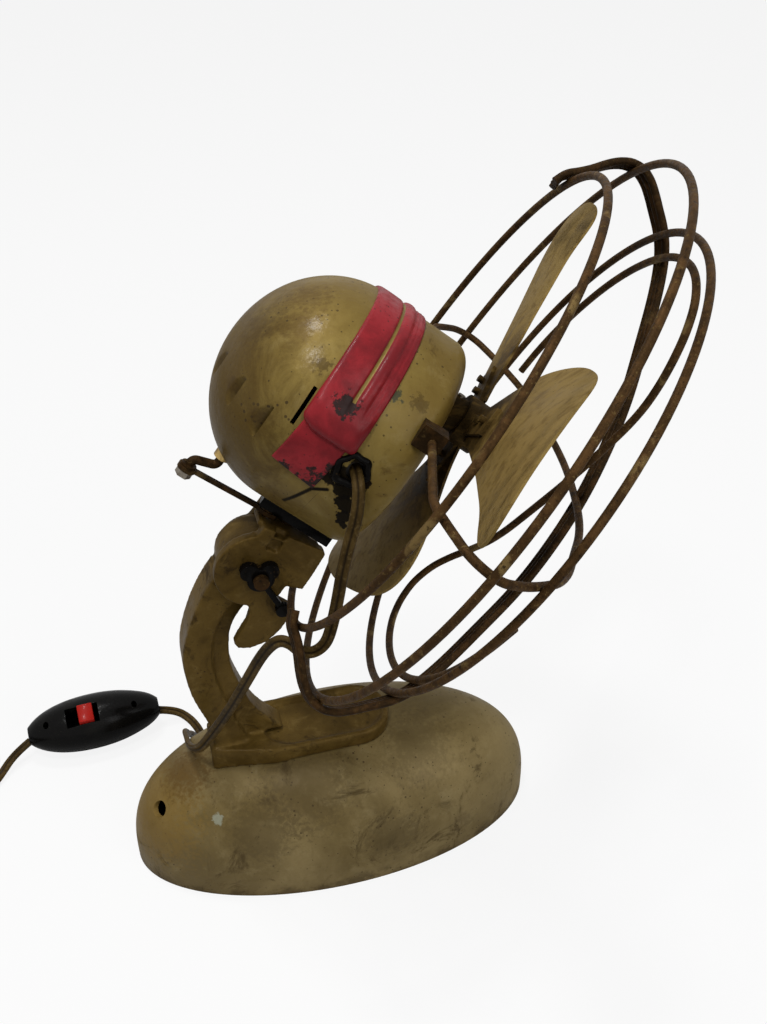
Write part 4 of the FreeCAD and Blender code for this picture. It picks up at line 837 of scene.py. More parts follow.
class Bench:
    """Works one mesh at a time with the edit operators."""

    @staticmethod
    def clear() -> None:
        """Deselects everything."""
        bpy.ops.object.select_all(action="DESELECT")

    @staticmethod
    def take(obj: bpy.types.Object) -> None:
        """Makes one object the only selected and active one.

        Args:
            obj: The object.
        """
        Bench.clear()
        obj.select_set(True)
        bpy.context.view_layer.objects.active = obj

    @staticmethod
    def whole(piece: bpy.types.Object, work: Callable[[], object]) -> None:
        """Runs one edit operator over the whole of a piece.

        Args:
            piece: The piece.
            work: Calls the operator.
        """
        Bench.take(piece)
        bpy.ops.object.mode_set(mode="EDIT")
        bpy.ops.mesh.select_all(action="SELECT")
        work()
        bpy.ops.object.mode_set(mode="OBJECT")

    @staticmethod
    def merge(piece: bpy.types.Object, reach: float) -> None:
        """Merges the vertices that lie closer together than a reach, in metres."""
        Bench.whole(piece, lambda: bpy.ops.mesh.remove_doubles(threshold=reach))

    @staticmethod
    def face_out(piece: bpy.types.Object) -> None:
        """Turns every face's normal outwards."""
        Bench.whole(piece, lambda: bpy.ops.mesh.normals_make_consistent(inside=False))

    @staticmethod
    def smooth(piece: bpy.types.Object, angle: float) -> None:
        """Shades a piece smooth but for edges sharper than an angle, in degrees."""
        Bench.take(piece)
        bpy.ops.object.shade_smooth_by_angle(angle=math.radians(angle))

    @staticmethod
    def shape(piece: bpy.types.Object, kind: str, **settings: object) -> None:
        """Applies one modifier to a piece.

        Args:
            piece: The piece.
            kind: The modifier's type.
            **settings: Its settings by name.
        """
        Bench.take(piece)
        step = piece.modifiers.new("step", kind)
        for key, value in settings.items():
            setattr(step, key, value)
        bpy.ops.object.modifier_apply(modifier=step.name)

    @staticmethod
    def copy_of(node: bpy.types.Object, name: str) -> bpy.types.Object:
        """Copies a solid's mesh into a piece of its own and merges its loose triangles.

        Args:
            node: The solid's object.
            name: The piece's name.

        Returns:
            The new piece.
        """
        mesh = node.data.copy()
        piece = bpy.data.objects.new(name, mesh)
        mesh.name = name
        bpy.context.scene.collection.objects.link(piece)
        Bench.merge(piece, 0.000004)
        Bench.whole(piece, bpy.ops.mesh.customdata_custom_splitnormals_clear)
        return piece

    @staticmethod
    def soften(
        piece: bpy.types.Object, width: float, segments: int = 3, angle: float = 32.0
    ) -> None:
        """Rounds a piece's hard edges as a mould does.

        Args:
            piece: The piece.
            width: Width of the rounding, in metres.
            segments: Faces across it.
            angle: Edges sharper than this are rounded, in degrees.
        """
        Bench.shape(piece, "BEVEL", width=width, segments=segments, limit_method="ANGLE",
                    angle_limit=math.radians(angle), use_clamp_overlap=True, harden_normals=False)
        Bench.smooth(piece, 40.0)

    @staticmethod
    def melt(piece: bpy.types.Object, voxel: float, rounds: int) -> None:
        """Lets a piece's edges and corners run together as molten metal does.

        Args:
            piece: The piece.
            voxel: Size of the new mesh's faces, in metres.
            rounds: How often the faces are evened out.
        """
        Bench.shape(piece, "REMESH", mode="VOXEL", voxel_size=voxel)
        Bench.shape(piece, "SMOOTH", factor=0.5, iterations=rounds)
        bpy.ops.object.shade_smooth()

    @staticmethod
    def sheet(
        name: str,
        across: Sequence[float],
        along: Sequence[float],
        place: Callable[[float, float], Vector],
        wall: float,
        hole: Callable[[float, float], bool] | None = None,
    ) -> bpy.types.Object:
        """Lays a grid over a curved form and gives it a wall.

        Args:
            name: The piece's name.
            across: The form's first measure at each column.
            along: The form's second measure at each row.
            place: Gives the place for a pair of measures.
            wall: Thickness on the inner side, in metres.
            hole: Says which cells are cut out, by the measures at their middle.

        Returns:
            The piece.
        """
        wide, high = len(across) - 1, len(along) - 1
        Bench.clear()
        bpy.ops.mesh.primitive_grid_add(x_subdivisions=wide, y_subdivisions=high, size=2.0)
        piece = bpy.context.active_object
        piece.name = piece.data.name = name
        if hole is not None:
            def cut(centre: Vector, _: Vector) -> bool:
                """Says whether a cell of the flat grid is cut out.

                Args:
                    centre: The cell's middle on the flat grid.

                Returns:
                    True where it is cut out.
                """
                i = int((centre.x + 1.0) / 2.0 * wide)
                k = int((centre.y + 1.0) / 2.0 * high)
                return hole((across[i] + across[i + 1]) / 2.0, (along[k] + along[k + 1]) / 2.0)

            bpy.ops.object.mode_set(mode="EDIT")
            Bench.select_faces(piece, cut)
            bpy.ops.mesh.delete(type="FACE")
            bpy.ops.object.mode_set(mode="OBJECT")
        for vertex in piece.data.vertices:
            i = round((vertex.co.x + 1.0) / 2.0 * wide)
            k = round((vertex.co.y + 1.0) / 2.0 * high)
            vertex.co = place(across[i], along[k])
        Bench.merge(piece, 0.000005)
        Bench.shape(piece, "SOLIDIFY", thickness=wall, offset=-1.0)
        Bench.smooth(piece, 38.0)
        return piece

    @staticmethod
    def bore(piece: bpy.types.Object, matrix: Matrix, radius: float, depth: float) -> None:
        """Cuts a round hole through a piece.

        Args:
            piece: The piece.
            matrix: Where the hole's middle is and which way its Z runs.
            radius: The hole's radius, in metres.
            depth: The cut's length, in metres.
        """
        Bench.clear()
        bpy.ops.mesh.primitive_cylinder_add(vertices=48, radius=radius, depth=depth)
        cutter = bpy.context.active_object
        cutter.data.transform(matrix)
        Bench.shape(piece, "BOOLEAN", operation="DIFFERENCE", solver="EXACT", object=cutter)
        bpy.data.objects.remove(cutter)

    @staticmethod
    def dress(piece: bpy.types.Object, material: bpy.types.Material) -> None:
        """Gives a new piece its one material."""
        piece.data.materials.clear()
        piece.data.materials.append(material)

    @staticmethod
    def paint(node: bpy.types.Object, material: bpy.types.Material) -> None:
        """Puts a finish on a solid's own material slots."""
        for slot in node.material_slots:
            slot.material = material

    @staticmethod
    def place(piece: bpy.types.Object, matrix: Matrix) -> None:
        """Moves a piece's mesh to its place and leaves its object at the origin.

        Args:
            piece: The piece.
            matrix: The move, on top of the object's own.
        """
        piece.data.transform(matrix @ piece.matrix_world)
        piece.matrix_world = Matrix.Identity(4)
        piece.data.update()

    @staticmethod
    def select_faces(piece: bpy.types.Object, test: Callable[[Vector, Vector], bool]) -> None:
        """Selects the faces whose middle and normal pass a test, in edit mode.

        Args:
            piece: The piece, in edit mode.
            test: Takes a face's middle and its normal.
        """
        bpy.ops.mesh.select_mode(type="FACE")
        bpy.ops.mesh.select_all(action="DESELECT")
        work = bmesh.from_edit_mesh(piece.data)
        for face in work.faces:
            if test(face.calc_center_median(), face.normal):
                face.select_set(True)
        bmesh.update_edit_mesh(piece.data)


# ---------------------------------------------------------------------------------------------
# Cords
# ---------------------------------------------------------------------------------------------


class Lie(Enum):
    """Which way a stretch of flat cord turns its broad side."""

    TO_ROOM = "to_room"
    ON_FLOOR = "on_floor"


@dataclass
class TwinFlex:
    """Flat two-core flex: its section swept along the line of a route."""

    core: float = 0.0014
    spread: float = 0.0012
    sides: int = 9
    room: Point = (0.259, 0.966, -0.55)

    @property
    def width(self) -> float:
        """Gives the flex's width in metres."""
        return 2.0 * (self.core + self.spread)

    def section(self) -> list[tuple[float, float, float]]:
        """Gives the section's outline.

        Returns:
            Rows of across, up and the share of the way from the groove to the edge.
        """
        rows: list[tuple[float, float, float]] = []
        for side in (1.0, -1.0):
            for i in range(self.sides):
                angle = math.radians(-148.0 + 296.0 * i / (self.sides - 1))
                x = side * (self.spread + self.core * math.cos(angle))
                y = side * self.core * math.sin(angle)
                rows.append((x, y, min(1.0, abs(x) / (self.width / 2.0))))
        return rows

    @staticmethod
    def line(points: Sequence[Point], fine: int = 10) -> list[Vector]:
        """Reads the smooth line of a route from its own spline.

        Args:
            points: The route's control points, in metres.
            fine: Points read between two control points.

        Returns:
            The line's points in order.
        """
        data = bpy.data.curves.new("route", "CURVE")
        data.dimensions = "3D"
        spline = data.splines.new("NURBS")
        spline.points.add(len(points) - 1)
        for target, point in zip(spline.points, points):
            target.co = (*point, 1.0)
        spline.order_u = 3
        spline.use_endpoint_u = True
        spline.resolution_u = fine
        carrier = bpy.data.objects.new("route", data)
        bpy.context.scene.collection.objects.link(carrier)
        bpy.context.view_layer.update()
        mesh = bpy.data.meshes.new_from_object(carrier)
        line = [v.co.copy() for v in mesh.vertices]
        bpy.data.meshes.remove(mesh)
        bpy.data.objects.remove(carrier)
        bpy.data.curves.remove(data)
        return line

    def sweep(
        self, name: str, line: Sequence[Vector], lies: Sequence[Lie], broad: Vector | None = None
    ) -> tuple[bpy.types.Object, Vector]:
        """Sweeps the section along a line.

        Args:
            name: The piece's name.
            line: The line's points.
            lies: How the broad side lies at each point.
            broad: The broad side's direction at the first point, or None.

        Returns:
            The piece, and the broad side's direction at its end.
        """
        section = self.section()
        verts: list[Vector] = []
        shares: list[float] = []
        count = len(section)
        last = broad
        for i, point in enumerate(line):
            ahead, behind = line[min(i + 1, len(line) - 1)], line[max(i - 1, 0)]
            along = (ahead - behind).normalized()
            towards = Vector(self.room) if lies[i] is Lie.TO_ROOM else Vector((0.0, 0.0, 1.0))
            aim = along.cross(towards)
            aim = aim.normalized() if aim.length > 0.15 else None
            if last is None:
                wide = aim or along.orthogonal().normalized()
            else:
                wide = (last - along * last.dot(along)).normalized()
                if aim is not None:
                    if aim.dot(wide) < 0.0:
                        aim = -aim
                    wide = (wide * 0.86 + aim * 0.14).normalized()
            up = wide.cross(along).normalized()
            last = wide
            for x, y, share in section:
                verts.append(point + wide * x + up * y)
                shares.append(share)
        faces = [
            (r * count + k, r * count + (k + 1) % count, (r + 1) * count + (k + 1) % count,
             (r + 1) * count + k)
            for r in range(len(line) - 1)
            for k in range(count)
        ]
        faces += [tuple(reversed(range(count))),
                  tuple((len(line) - 1) * count + k for k in range(count))]
        mesh = bpy.data.meshes.new(name)
        mesh.from_pydata(verts, [], faces)
        layer = mesh.attributes.new("across", "FLOAT", "POINT")
        layer.data.foreach_set("value", shares)
        piece = bpy.data.objects.new(name, mesh)
        bpy.context.scene.collection.objects.link(piece)
        Bench.face_out(piece)
        Bench.smooth(piece, 50.0)
        return piece, last


@dataclass
class CordSet:
    """The mains cord from the head to the plug, in the pieces that the joints need."""

    palette: Palette
    flex: TwinFlex = field(default_factory=TwinFlex)
    head_run: tuple[Point, ...] = (
        (0.510, -41.172, -27.359), (4.470, -52.485, -27.924), (11.0, -58.0, -37.5),
        (15.5, -58.2, -50.0), (20.5, -58.0, -62.5), (26.5, -57.0, -75.0), (31.0, -55.4, -85.2),
    )
    lane_end: Point = (-11.3, -62.4, 193.4)
    span: tuple[Point, ...] = (
        (-15.8, -61.9, 184.0), (-20.0, -61.1, 181.9), (-24.4, -60.0, 183.4),
        (-27.5, -58.4, 187.0), (-31.5, -56.0, 187.6), (-35.2, -52.4, 182.0),
        (-39.4, -47.6, 171.5), (-45.2, -41.2, 153.5), (-51.8, -33.6, 133.0),
        (-58.4, -25.0, 112.5), (-66.5, -15.5, 91.0),
    )
    tail: tuple[Point, ...] = (
        (-73.5, 1.0, 71.0), (-75.0, 13.0, 65.0), (-75.0, 25.0, 57.0), (-73.5, 37.0, 45.0),
        (-71.0, 46.5, 31.0), (-68.0, 54.0, 17.5), (-66.0, 63.5, 6.6), (-66.3, 75.0, 2.8),
        (-71.0, 86.5, 3.2), (-79.0, 91.5, 7.5), (-88.2, 89.5, 12.0),
    )
    lead: tuple[Point, ...] = (
        (-163.6, 84.3, 12.0), (-173.5, 80.0, 8.0), (-181.5, 71.0, 3.4), (-189.0, 60.0, 2.7),
        (-198.0, 50.0, 3.0), (-207.5, 43.0, 6.0),
    )
    coil_at: tuple[float, float] = (-240.0, 39.0)
    coil_radius: float = 26.0
    turns: int = 7
    split_at: Point = (-0.0352, -0.0524, 0.1815)

    @staticmethod
    def _metres(points: Sequence[Point]) -> list[Point]:
        """Turns millimetres into metres."""
        return [(x / 1000.0, y / 1000.0, z / 1000.0) for x, y, z in points]

    @staticmethod
    def _onward(points: Sequence[Point], reach: float) -> Point:
        """Gives the point straight on past a row of points."""
        a, b = Vector(points[-2]), Vector(points[-1])
        return tuple(b + (b - a).normalized() * reach)

    @staticmethod
    def _length(line: Sequence[Vector]) -> float:
        """Measures a line."""
        return sum((b - a).length for a, b in zip(line, line[1:]))

    def _coil_points(self) -> list[Point]:
        """Gives the control points of the put-away turns and the end at the plug.

        Returns:
            The points, in millimetres.
        """
        slots = [(2.65, 1.6), (-2.65, 1.6), (-2.65, 4.5), (2.65, 4.5), (2.65, 7.4), (-2.65, 7.4),
                 (0.0, 10.3)]
        per_turn = 14
        points: list[Point] = []
        for i in range(2, per_turn * self.turns + 1):
            turn, share = divmod(i / per_turn, 1.0)
            a = slots[min(int(turn), self.turns - 1)]
            b = slots[min(int(turn) + 1, self.turns - 1)]
            ease = max(0.0, min(1.0, (share - 0.72) / 0.28))
            ease = ease * ease * (3.0 - 2.0 * ease)
            radius = self.coil_radius + a[0] + (b[0] - a[0]) * ease
            angle = math.radians(12.0) - 2.0 * math.pi * i / per_turn
            points.append((self.coil_at[0] + radius * math.cos(angle),
                           self.coil_at[1] + radius * math.sin(angle),
                           a[1] + (b[1] - a[1]) * ease))
        points += [(-217.0, 35.0, 12.6), (-224.5, 27.5, 13.3), (-233.5, 21.5, 13.3),
                   (-239.6, 15.5, 12.2), (-241.4, 10.6, 11.2), (-242.2, 5.0, 11.0)]
        return points

    def build(self, nodes: dict[str, bpy.types.Object]) -> None:
        """Args:
            nodes: The solids by name; not used.
        """
        head_points = [in_head(*p) for p in self.head_run]
        lane = self._metres([self.lane_end])[0]
        head_points.append(lane)
        first = self._onward(head_points, 0.005)
        span_points = [lane, first, *self._metres(self.span)]
        tail_points = [span_points[-1], self._onward(span_points, 0.008), *self._metres(self.tail)]
        lead_points = self._metres([*self.lead, *self._coil_points()])

        head_line = self.flex.line(head_points)
        span_line = self.flex.line(span_points)
        tail_line = self.flex.line(tail_points)
        lead_line = self.flex.line(lead_points, 5)
        top = min(range(len(span_line)),
                  key=lambda i: (span_line[i] - Vector(self.split_at)).length)

        head, side = self.flex.sweep("cord_head_flex", head_line, [Lie.TO_ROOM] * len(head_line))
        upper, side = self.flex.sweep("cord_upper_flex", span_line[: top + 1],
                                      [Lie.TO_ROOM] * (top + 1), side)
        low_part = span_line[top:]
        lower, side = self.flex.sweep("cord_lower_flex", low_part, [Lie.TO_ROOM] * len(low_part),
                                      side)
        lies = [Lie.ON_FLOOR if p.z < 0.012 else Lie.TO_ROOM for p in tail_line]
        tail, _ = self.flex.sweep("cord_tail_flex", tail_line, lies, side)
        lead, _ = self.flex.sweep("lead_flex", lead_line, [Lie.ON_FLOOR] * len(lead_line))

        for piece in (head, upper, lower, tail, lead):
            Bench.dress(piece, self.palette.flex)
        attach(head, "head")
        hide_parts("cord_head_run")
        tuple(span_line[0])
        tuple(span_line[top])
        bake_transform(upper)
        tuple(span_line[top])
        tuple(span_line[-1])
        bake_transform(lower)
        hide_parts("cord_span")
        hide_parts("cord_span")
        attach(tail, "stand")
        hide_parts("cord_tail")
        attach(lead, "stand")
        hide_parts("lead", "lead_coil")
        tie = self._tie()

        for piece, line in ((head, head_line), (upper, span_line[: top + 1]), (lower, low_part),
                            (tail, tail_line)):
            tuple(line[0])
            self._length(line)
            self.flex.width
            [tuple(p) for p in line]
            LOG.info("%s: %.0f mm of flex", piece.name, self._length(line) * 1000.0)
        tuple(lead_line[0])
        self.flex.width
        [tuple(p) for p in lead_line]
        LOG.info("%s: %.0f mm of flex", lead.name, self._length(lead_line) * 1000.0)

    def _tie(self) -> bpy.types.Object:
        """Makes the paper tie round the coil, twisted shut on top.

        Returns:
            The tie.
        """
        Bench.clear()
        bpy.ops.mesh.primitive_torus_add(major_radius=0.0070, minor_radius=0.0006,
                                         major_segments=36, minor_segments=8)
        tie = bpy.context.active_object
        tie.name = "coil_tie"
        for vertex in tie.data.vertices:
            x, y, z = vertex.co
            reach = math.hypot(x, y)
            push = (abs(x) / reach) ** 4 * 0.0006 - (abs(y) / reach) ** 4 * 0.0010
            vertex.co = (x * (1 + push / reach), y * (1 + push / reach), z * 3.2)
        bpy.ops.object.mode_set(mode="EDIT")
        Bench.select_faces(tie, lambda c, n: c.y > 0.0050 and abs(c.x) < 0.0010 and n.y > 0.5)
        bpy.ops.mesh.extrude_region_move(TRANSFORM_OT_translate={"value": (0.0012, 0.0011, 0.0)})
        bpy.ops.mesh.extrude_region_move(TRANSFORM_OT_translate={"value": (0.0030, 0.0003, 0.0012)})
        bpy.ops.transform.resize(value=(0.8, 0.6, 0.6))
        bpy.ops.mesh.select_all(action="SELECT")
        bpy.ops.mesh.remove_doubles(threshold=0.00001)
        bpy.ops.mesh.normals_make_consistent(inside=False)
        bpy.ops.object.mode_set(mode="OBJECT")
        bpy.ops.object.shade_smooth_by_angle(angle=math.radians(45.0))
        angle = math.radians(150.0)
        out = Vector((math.cos(angle), math.sin(angle), 0.0))
        way = Vector((-math.sin(angle), math.cos(angle), 0.0))
        seat = Matrix((
            (out.x, 0.0, way.x, self.coil_at[0] / 1000.0 + out.x * self.coil_radius / 1000.0),
            (out.y, 0.0, way.y, self.coil_at[1] / 1000.0 + out.y * self.coil_radius / 1000.0),
            (0.0, 1.0, 0.0, 0.0067),
            (0.0, 0.0, 0.0, 1.0),
        ))
        Bench.place(tie, seat)
        Bench.face_out(tie)
        Bench.dress(tie, self.palette.tie)
        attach(tie, "stand")
        return tie


# ---------------------------------------------------------------------------------------------
# Sub-assemblies
# ---------------------------------------------------------------------------------------------


@dataclass
class Casting:
    """A solid whose edges are rounded as a casting's or pressing's are."""

    source: str
    piece_name: str
    body: str
    slot: str
    width: float = 0.0008
    segments: int = 3
    angle: float = 32.0
    voxel: float = 0.0

    def build(
        self, nodes: dict[str, bpy.types.Object], material: bpy.types.Material
    ) -> bpy.types.Object:
        """Makes the softened piece in its solid's place.

        Args:
            nodes: The solids by name.
            material: The finish.

        Returns:
            The piece.
        """
        piece = Bench.copy_of(nodes[self.source], self.piece_name)
        if self.voxel:
            Bench.melt(piece, self.voxel, 6)
        else:
            Bench.soften(piece, self.width, self.segments, self.angle)
        Bench.dress(piece, material)
        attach(piece, self.body)
        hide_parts(self.source)
        LOG.info("%s: %d faces", piece.name, len(piece.data.polygons))
        return piece


@dataclass(frozen=True)
class ShellForm:
    """Outside of the motor's egg-shaped shell, in millimetres of the head's frame."""

    radius: float = BARREL_RADIUS
    drop: float = BARREL_DROP
    rear: float = -65.0
    shoulder: float = -20.0

    @property
    def length(self) -> float:
        """Gives the length of the rounded end."""
        return self.shoulder - self.rear

    def around(self, x: float) -> float:
        """Gives the shell's radius at a place along its axis."""
        back = min(1.0, max(0.0, (self.shoulder - x) / self.length))
        return self.radius * math.sqrt(1.0 - back * back)

    def at(self, x: float, turn: float, lift: float = 0.0) -> Vector:
        """Gives a place on the shell.

        Args:
            x: Place along the axis.
            turn: Angle up from the near side, in degrees.
            lift: Height over the shell.

        Returns:
            The place in the row frame, in metres.
        """
        reach, angle = self.around(x) + lift, math.radians(turn)
        return Vector(in_head(x, -reach * math.cos(angle), reach * math.sin(angle) - self.drop))

    def turn_at(self, x: float, z: float) -> float:
        """Gives the angle on the near side at which the shell has a height."""
        return math.degrees(math.asin(max(-1.0, min(1.0, (z + self.drop) / self.around(x)))))


@dataclass
class RearShell:
    """Motor's rear shell with three pressed louvres a side and the slit beside the hood."""

    form: ShellForm = field(default_factory=ShellForm)
    seam: float = -3.52
    wall: float = 0.0008
    louvres: tuple[tuple[float, float, float], ...] = (
        (-61.5, -32.8, 6.8), (-51.0, -32.2, 7.2), (-37.0, -32.8, 7.8),
    )
    louvre_width: float = 5.2
    louvre_depth: float = 2.6
    lip: float = 0.35
    slit: tuple[float, float, float, float] = (-29.2, -27.5, -1.5, 19.0)
    holes: tuple[tuple[float, float, float], ...] = ((-39.5, -9.5, 3.85), (0.0, 0.0, 6.65))

    def _degrees(self, x: float) -> float:
        """Gives the angle along the rounded end at a place of the axis."""
        return math.degrees(math.acos((self.form.shoulder - x) / self.form.length))

    def _x(self, measure: float) -> float:
        """Gives the place along the axis: degrees to the shoulder, then millimetres.

        Args:
            measure: Degrees up to 90, and millimetres past the shoulder above that.

        Returns:
            The place, in millimetres.
        """
        if measure <= 90.0:
            return self.form.shoulder - self.form.length * math.cos(math.radians(measure))
        return self.form.shoulder + measure - 90.0

    def _dip(self, measure: float, height: float) -> float:
        """Gives how deep a louvre presses the shell in, in millimetres.

        Args:
            measure: The measure along the shell.
            height: The height in the head's frame.

        Returns:
            The depth, 0 away from the louvres.
        """
        for edge, centre, half in self.louvres:
            end = self._degrees(edge)
            side = (height - centre) / half
            if abs(side) >= 1.0 or measure > end + 0.01:
                continue
            width = math.degrees(self.louvre_width / 48.0) * math.sqrt(1.0 - side * side)
            share = (end - measure) / width
            if share < 1.0:
                return self.louvre_depth * (1.0 - share) * math.sqrt(1.0 - side * side)
        return 0.0

    def _place(self, measure: float, turn: float) -> Vector:
        """Gives the place of the skin for a pair of measures.

        Args:
            measure: The measure along the shell.
            turn: The angle round it, in degrees.

        Returns:
            The place in the row frame, in metres.
        """
        x = self._x(measure)
        spot = self.form.at(x, turn)
        angle = math.radians(turn)
        height = self.form.around(x) * math.sin(angle) - self.form.drop
        dip = self._dip(measure, height)
        if dip:
            lean = min(0.0, x - self.form.shoulder) / self.form.length ** 2
            out = self.form.around(x) / self.form.radius ** 2
            normal = Vector((lean, -out * math.cos(angle), out * math.sin(angle))).normalized()
            spot = spot - HEAD.to_3x3() @ normal * (dip / 1000.0)
        return spot

    def _open(self, measure: float, turn: float) -> bool:
        """Says whether a cell lies in a louvre's mouth or in the slit.

        Args:
            measure: The measure along the shell at its middle.
            turn: The angle at its middle, in degrees.

        Returns:
            True where the cell is cut out.
        """
        x = self._x(measure)
        height = self.form.around(x) * math.sin(math.radians(turn)) - self.form.drop
        for edge, centre, half in self.louvres:
            if (0.0 < measure - self._degrees(edge) < self.lip
                    and abs(height - centre) < half * 0.90):
                return True
        return (self.slit[0] < x < self.slit[1]) and self.slit[2] < turn < self.slit[3]

    def build(self, material: bpy.types.Material) -> None:
        """Makes the shell in the solid's place.

        Args:
            material: The finish.
        """
        marks = {float(a) for a in range(0, 91, 3)}
        for edge, _, _ in self.louvres:
            end = self._degrees(edge)
            marks = {m for m in marks if not end - 6.8 < m < end + 1.2}
            marks |= {end - 0.65 * i for i in range(11)} | {end + self.lip, end + 1.0}
        marks |= {self._degrees(x) for x in self.slit[:2]}
        across = sorted(marks) + [94.0, 98.0, 102.0, 90.0 + self.seam - self.form.shoulder]
        along = [float(a) for a in range(-50, 20)]
        along += [float(a) for a in range(20, 160, 4)]
        along += [float(a) for a in range(160, 230)]
        along += [float(a) for a in range(230, 311, 4)]
        skin = Bench.sheet("rear_shell_skin", across, along, self._place, self.wall, self._open)
        for x, y, radius in self.holes:
            seat = HEAD @ Matrix.Translation((x / 1000.0, y / 1000.0, -0.074))
            Bench.bore(skin, seat, radius / 1000.0, 0.034)
        Bench.smooth(skin, 38.0)
        Bench.dress(skin, material)
        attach(skin, "head")
        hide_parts("rear_housing")
        LOG.info("rear shell: %d faces", len(skin.data.polygons))


@dataclass
class BandTrim:
    """Red bands over the motor with the hood at their lower end and the plate under it."""

    form: ShellForm = field(default_factory=ShellForm)
    section: tuple[tuple[float, float], ...] = (
        (-27.1, -0.6), (-26.9, 0.5), (-26.4, 1.0), (-25.4, 1.2), (-22.0, 1.25), (-18.0, 1.25),
        (-15.4, 1.2), (-14.7, 1.05), (-14.2, 0.5), (-13.7, 0.32), (-13.2, 0.32), (-12.8, 0.5),
        (-12.3, 1.15), (-11.7, 1.6), (-10.6, 1.9), (-9.4, 1.9), (-8.4, 1.7), (-7.8, 1.35),
        (-7.3, 1.05), (-6.4, 1.0), (-5.9, 1.12), (-5.4, 0.95), (-4.6, 1.0), (-4.1, 1.12),
        (-3.6, 0.92), (-2.7, 0.9), (-2.2, 0.7), (-1.9, 0.3), (-1.7, -0.6),
    )
    rear: float = -27.1
    front: float = -1.7
    lean: float = 0.8
    spread: float = 1.8
    low: float = 1.9
    high: float = 178.1
    hood_lift: float = 2.6
    corners: tuple[tuple[float, float], ...] = (
        (-25.4, -20.5), (-5.0, -21.5), (-6.4, -44.8), (-27.2, -42.2),
    )

    @staticmethod
    def _ease(share: float) -> float:
        """Gives a round shoulder from 0 to 1."""
        share = max(0.0, min(1.0, share))
        return math.sqrt(1.0 - (1.0 - share) ** 2)

    def _band(self, x: float, turn: float) -> Vector:
        """Gives a place of the bands' outside.

        Args:
            x: One of the section's places along the axis.
            turn: The angle up from the near side, in degrees.

        Returns:
            The place in the row frame, in metres.
        """
        lift = dict(self.section)[x]
        low_share = max(0.0, min(1.0, (27.0 - turn) / 15.0))
        hood = low_share * low_share * (3.0 - 2.0 * low_share)
        side = self._ease((x - self.rear) / 2.6) * self._ease((self.front - x) / 5.5)
        lift = lift + hood * side * (1.35 - lift) + self.hood_lift * hood * side
        nose = self._ease((turn - self.low) / 4.2)
        far = self._ease((self.high - turn) / 1.2)
        lift = (lift + 0.6) * nose * far - 0.6
        tilt = max(0.0, math.sin(math.radians(turn))) ** 2
        x += tilt * (self.lean + self.spread * (self.front - x) / (self.front - self.rear))
        corner = 6.0 * (1.0 - self._ease((x - self.rear) / 8.0))
        corner += 1.2 * (1.0 - self._ease((self.front - x) / 4.0))
        return self.form.at(x, turn + corner * max(0.0, 1.0 - (turn - self.low) / 24.0), lift)

    def _plate(self, u: float, v: float) -> Vector:
        """Gives a place of the flat plate under the hood, its rows counted upwards.

        Args:
            u: Share of the way from the rear edge to the front one.
            v: Share of the way from the lower edge to the upper one.

        Returns:
            The place in the row frame, in metres.
        """
        a, b, c, d = self.corners
        x = (a[0] * (1 - u) + b[0] * u) * v + (d[0] * (1 - u) + c[0] * u) * (1 - v)
        z = (a[1] * (1 - u) + b[1] * u) * v + (d[1] * (1 - u) + c[1] * u) * (1 - v)
        rim = min(u, 1.0 - u, v, 1.0 - v)
        return self.form.at(x, self.form.turn_at(x, z), -0.4 + 1.4 * self._ease(rim / 0.035))

    def build(self, red: bpy.types.Material, gold: bpy.types.Material) -> None:
        """Makes the bands and the plate.

        Args:
            red: The bands' finish.
            gold: The finish that shows in the groove.
        """
        turns = [1.9, 2.05, 2.4, 3.0, 3.8, 4.8, 6.0] + [7.0 + i for i in range(24)]
        turns += [33.0 + 3.0 * i for i in range(48)] + [176.2, 177.2, 177.8, 178.1]
        xs = [x for x, _ in self.section]
        band = Bench.sheet("red_band_skin", xs, turns, self._band, 0.0006)
        Bench.dress(band, red)
        band.data.materials.append(gold)
        inverse, share = HEAD.inverted(), self.spread / (self.front - self.rear)

        def in_groove(centre: Vector, _: Vector) -> bool:
            """Says whether a face lies in the groove between the stripes.

            Args:
                centre: The face's middle.

            Returns:
                True in the groove.
            """
            spot = inverse @ centre * 1000.0
            rise = spot.z + self.form.drop
            tilt = max(0.0, rise / math.hypot(rise, spot.y)) ** 2
            flat = (spot.x - tilt * (self.lean + share * self.front)) / (1.0 - tilt * share)
            return -14.25 < flat < -12.75 and spot.z > -6.0

        Bench.take(band)
        bpy.ops.object.mode_set(mode="EDIT")
        Bench.select_faces(band, in_groove)
        band.active_material_index = 1
        bpy.ops.object.material_slot_assign()
        bpy.ops.object.mode_set(mode="OBJECT")
        fine = [0.0, 0.006, 0.014, 0.024, 0.035] + [0.07 + 0.086 * i for i in range(11)]
        fine += [0.965, 0.976, 0.986, 0.994, 1.0]
        plate = Bench.sheet("red_patch_plate", fine, fine, self._plate, 0.0005)
        Bench.dress(plate, red)
        for piece in (band, plate):
            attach(piece, "head")
        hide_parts("red_band_rear", "red_band_front")
        LOG.info("band: %d faces", len(band.data.polygons))


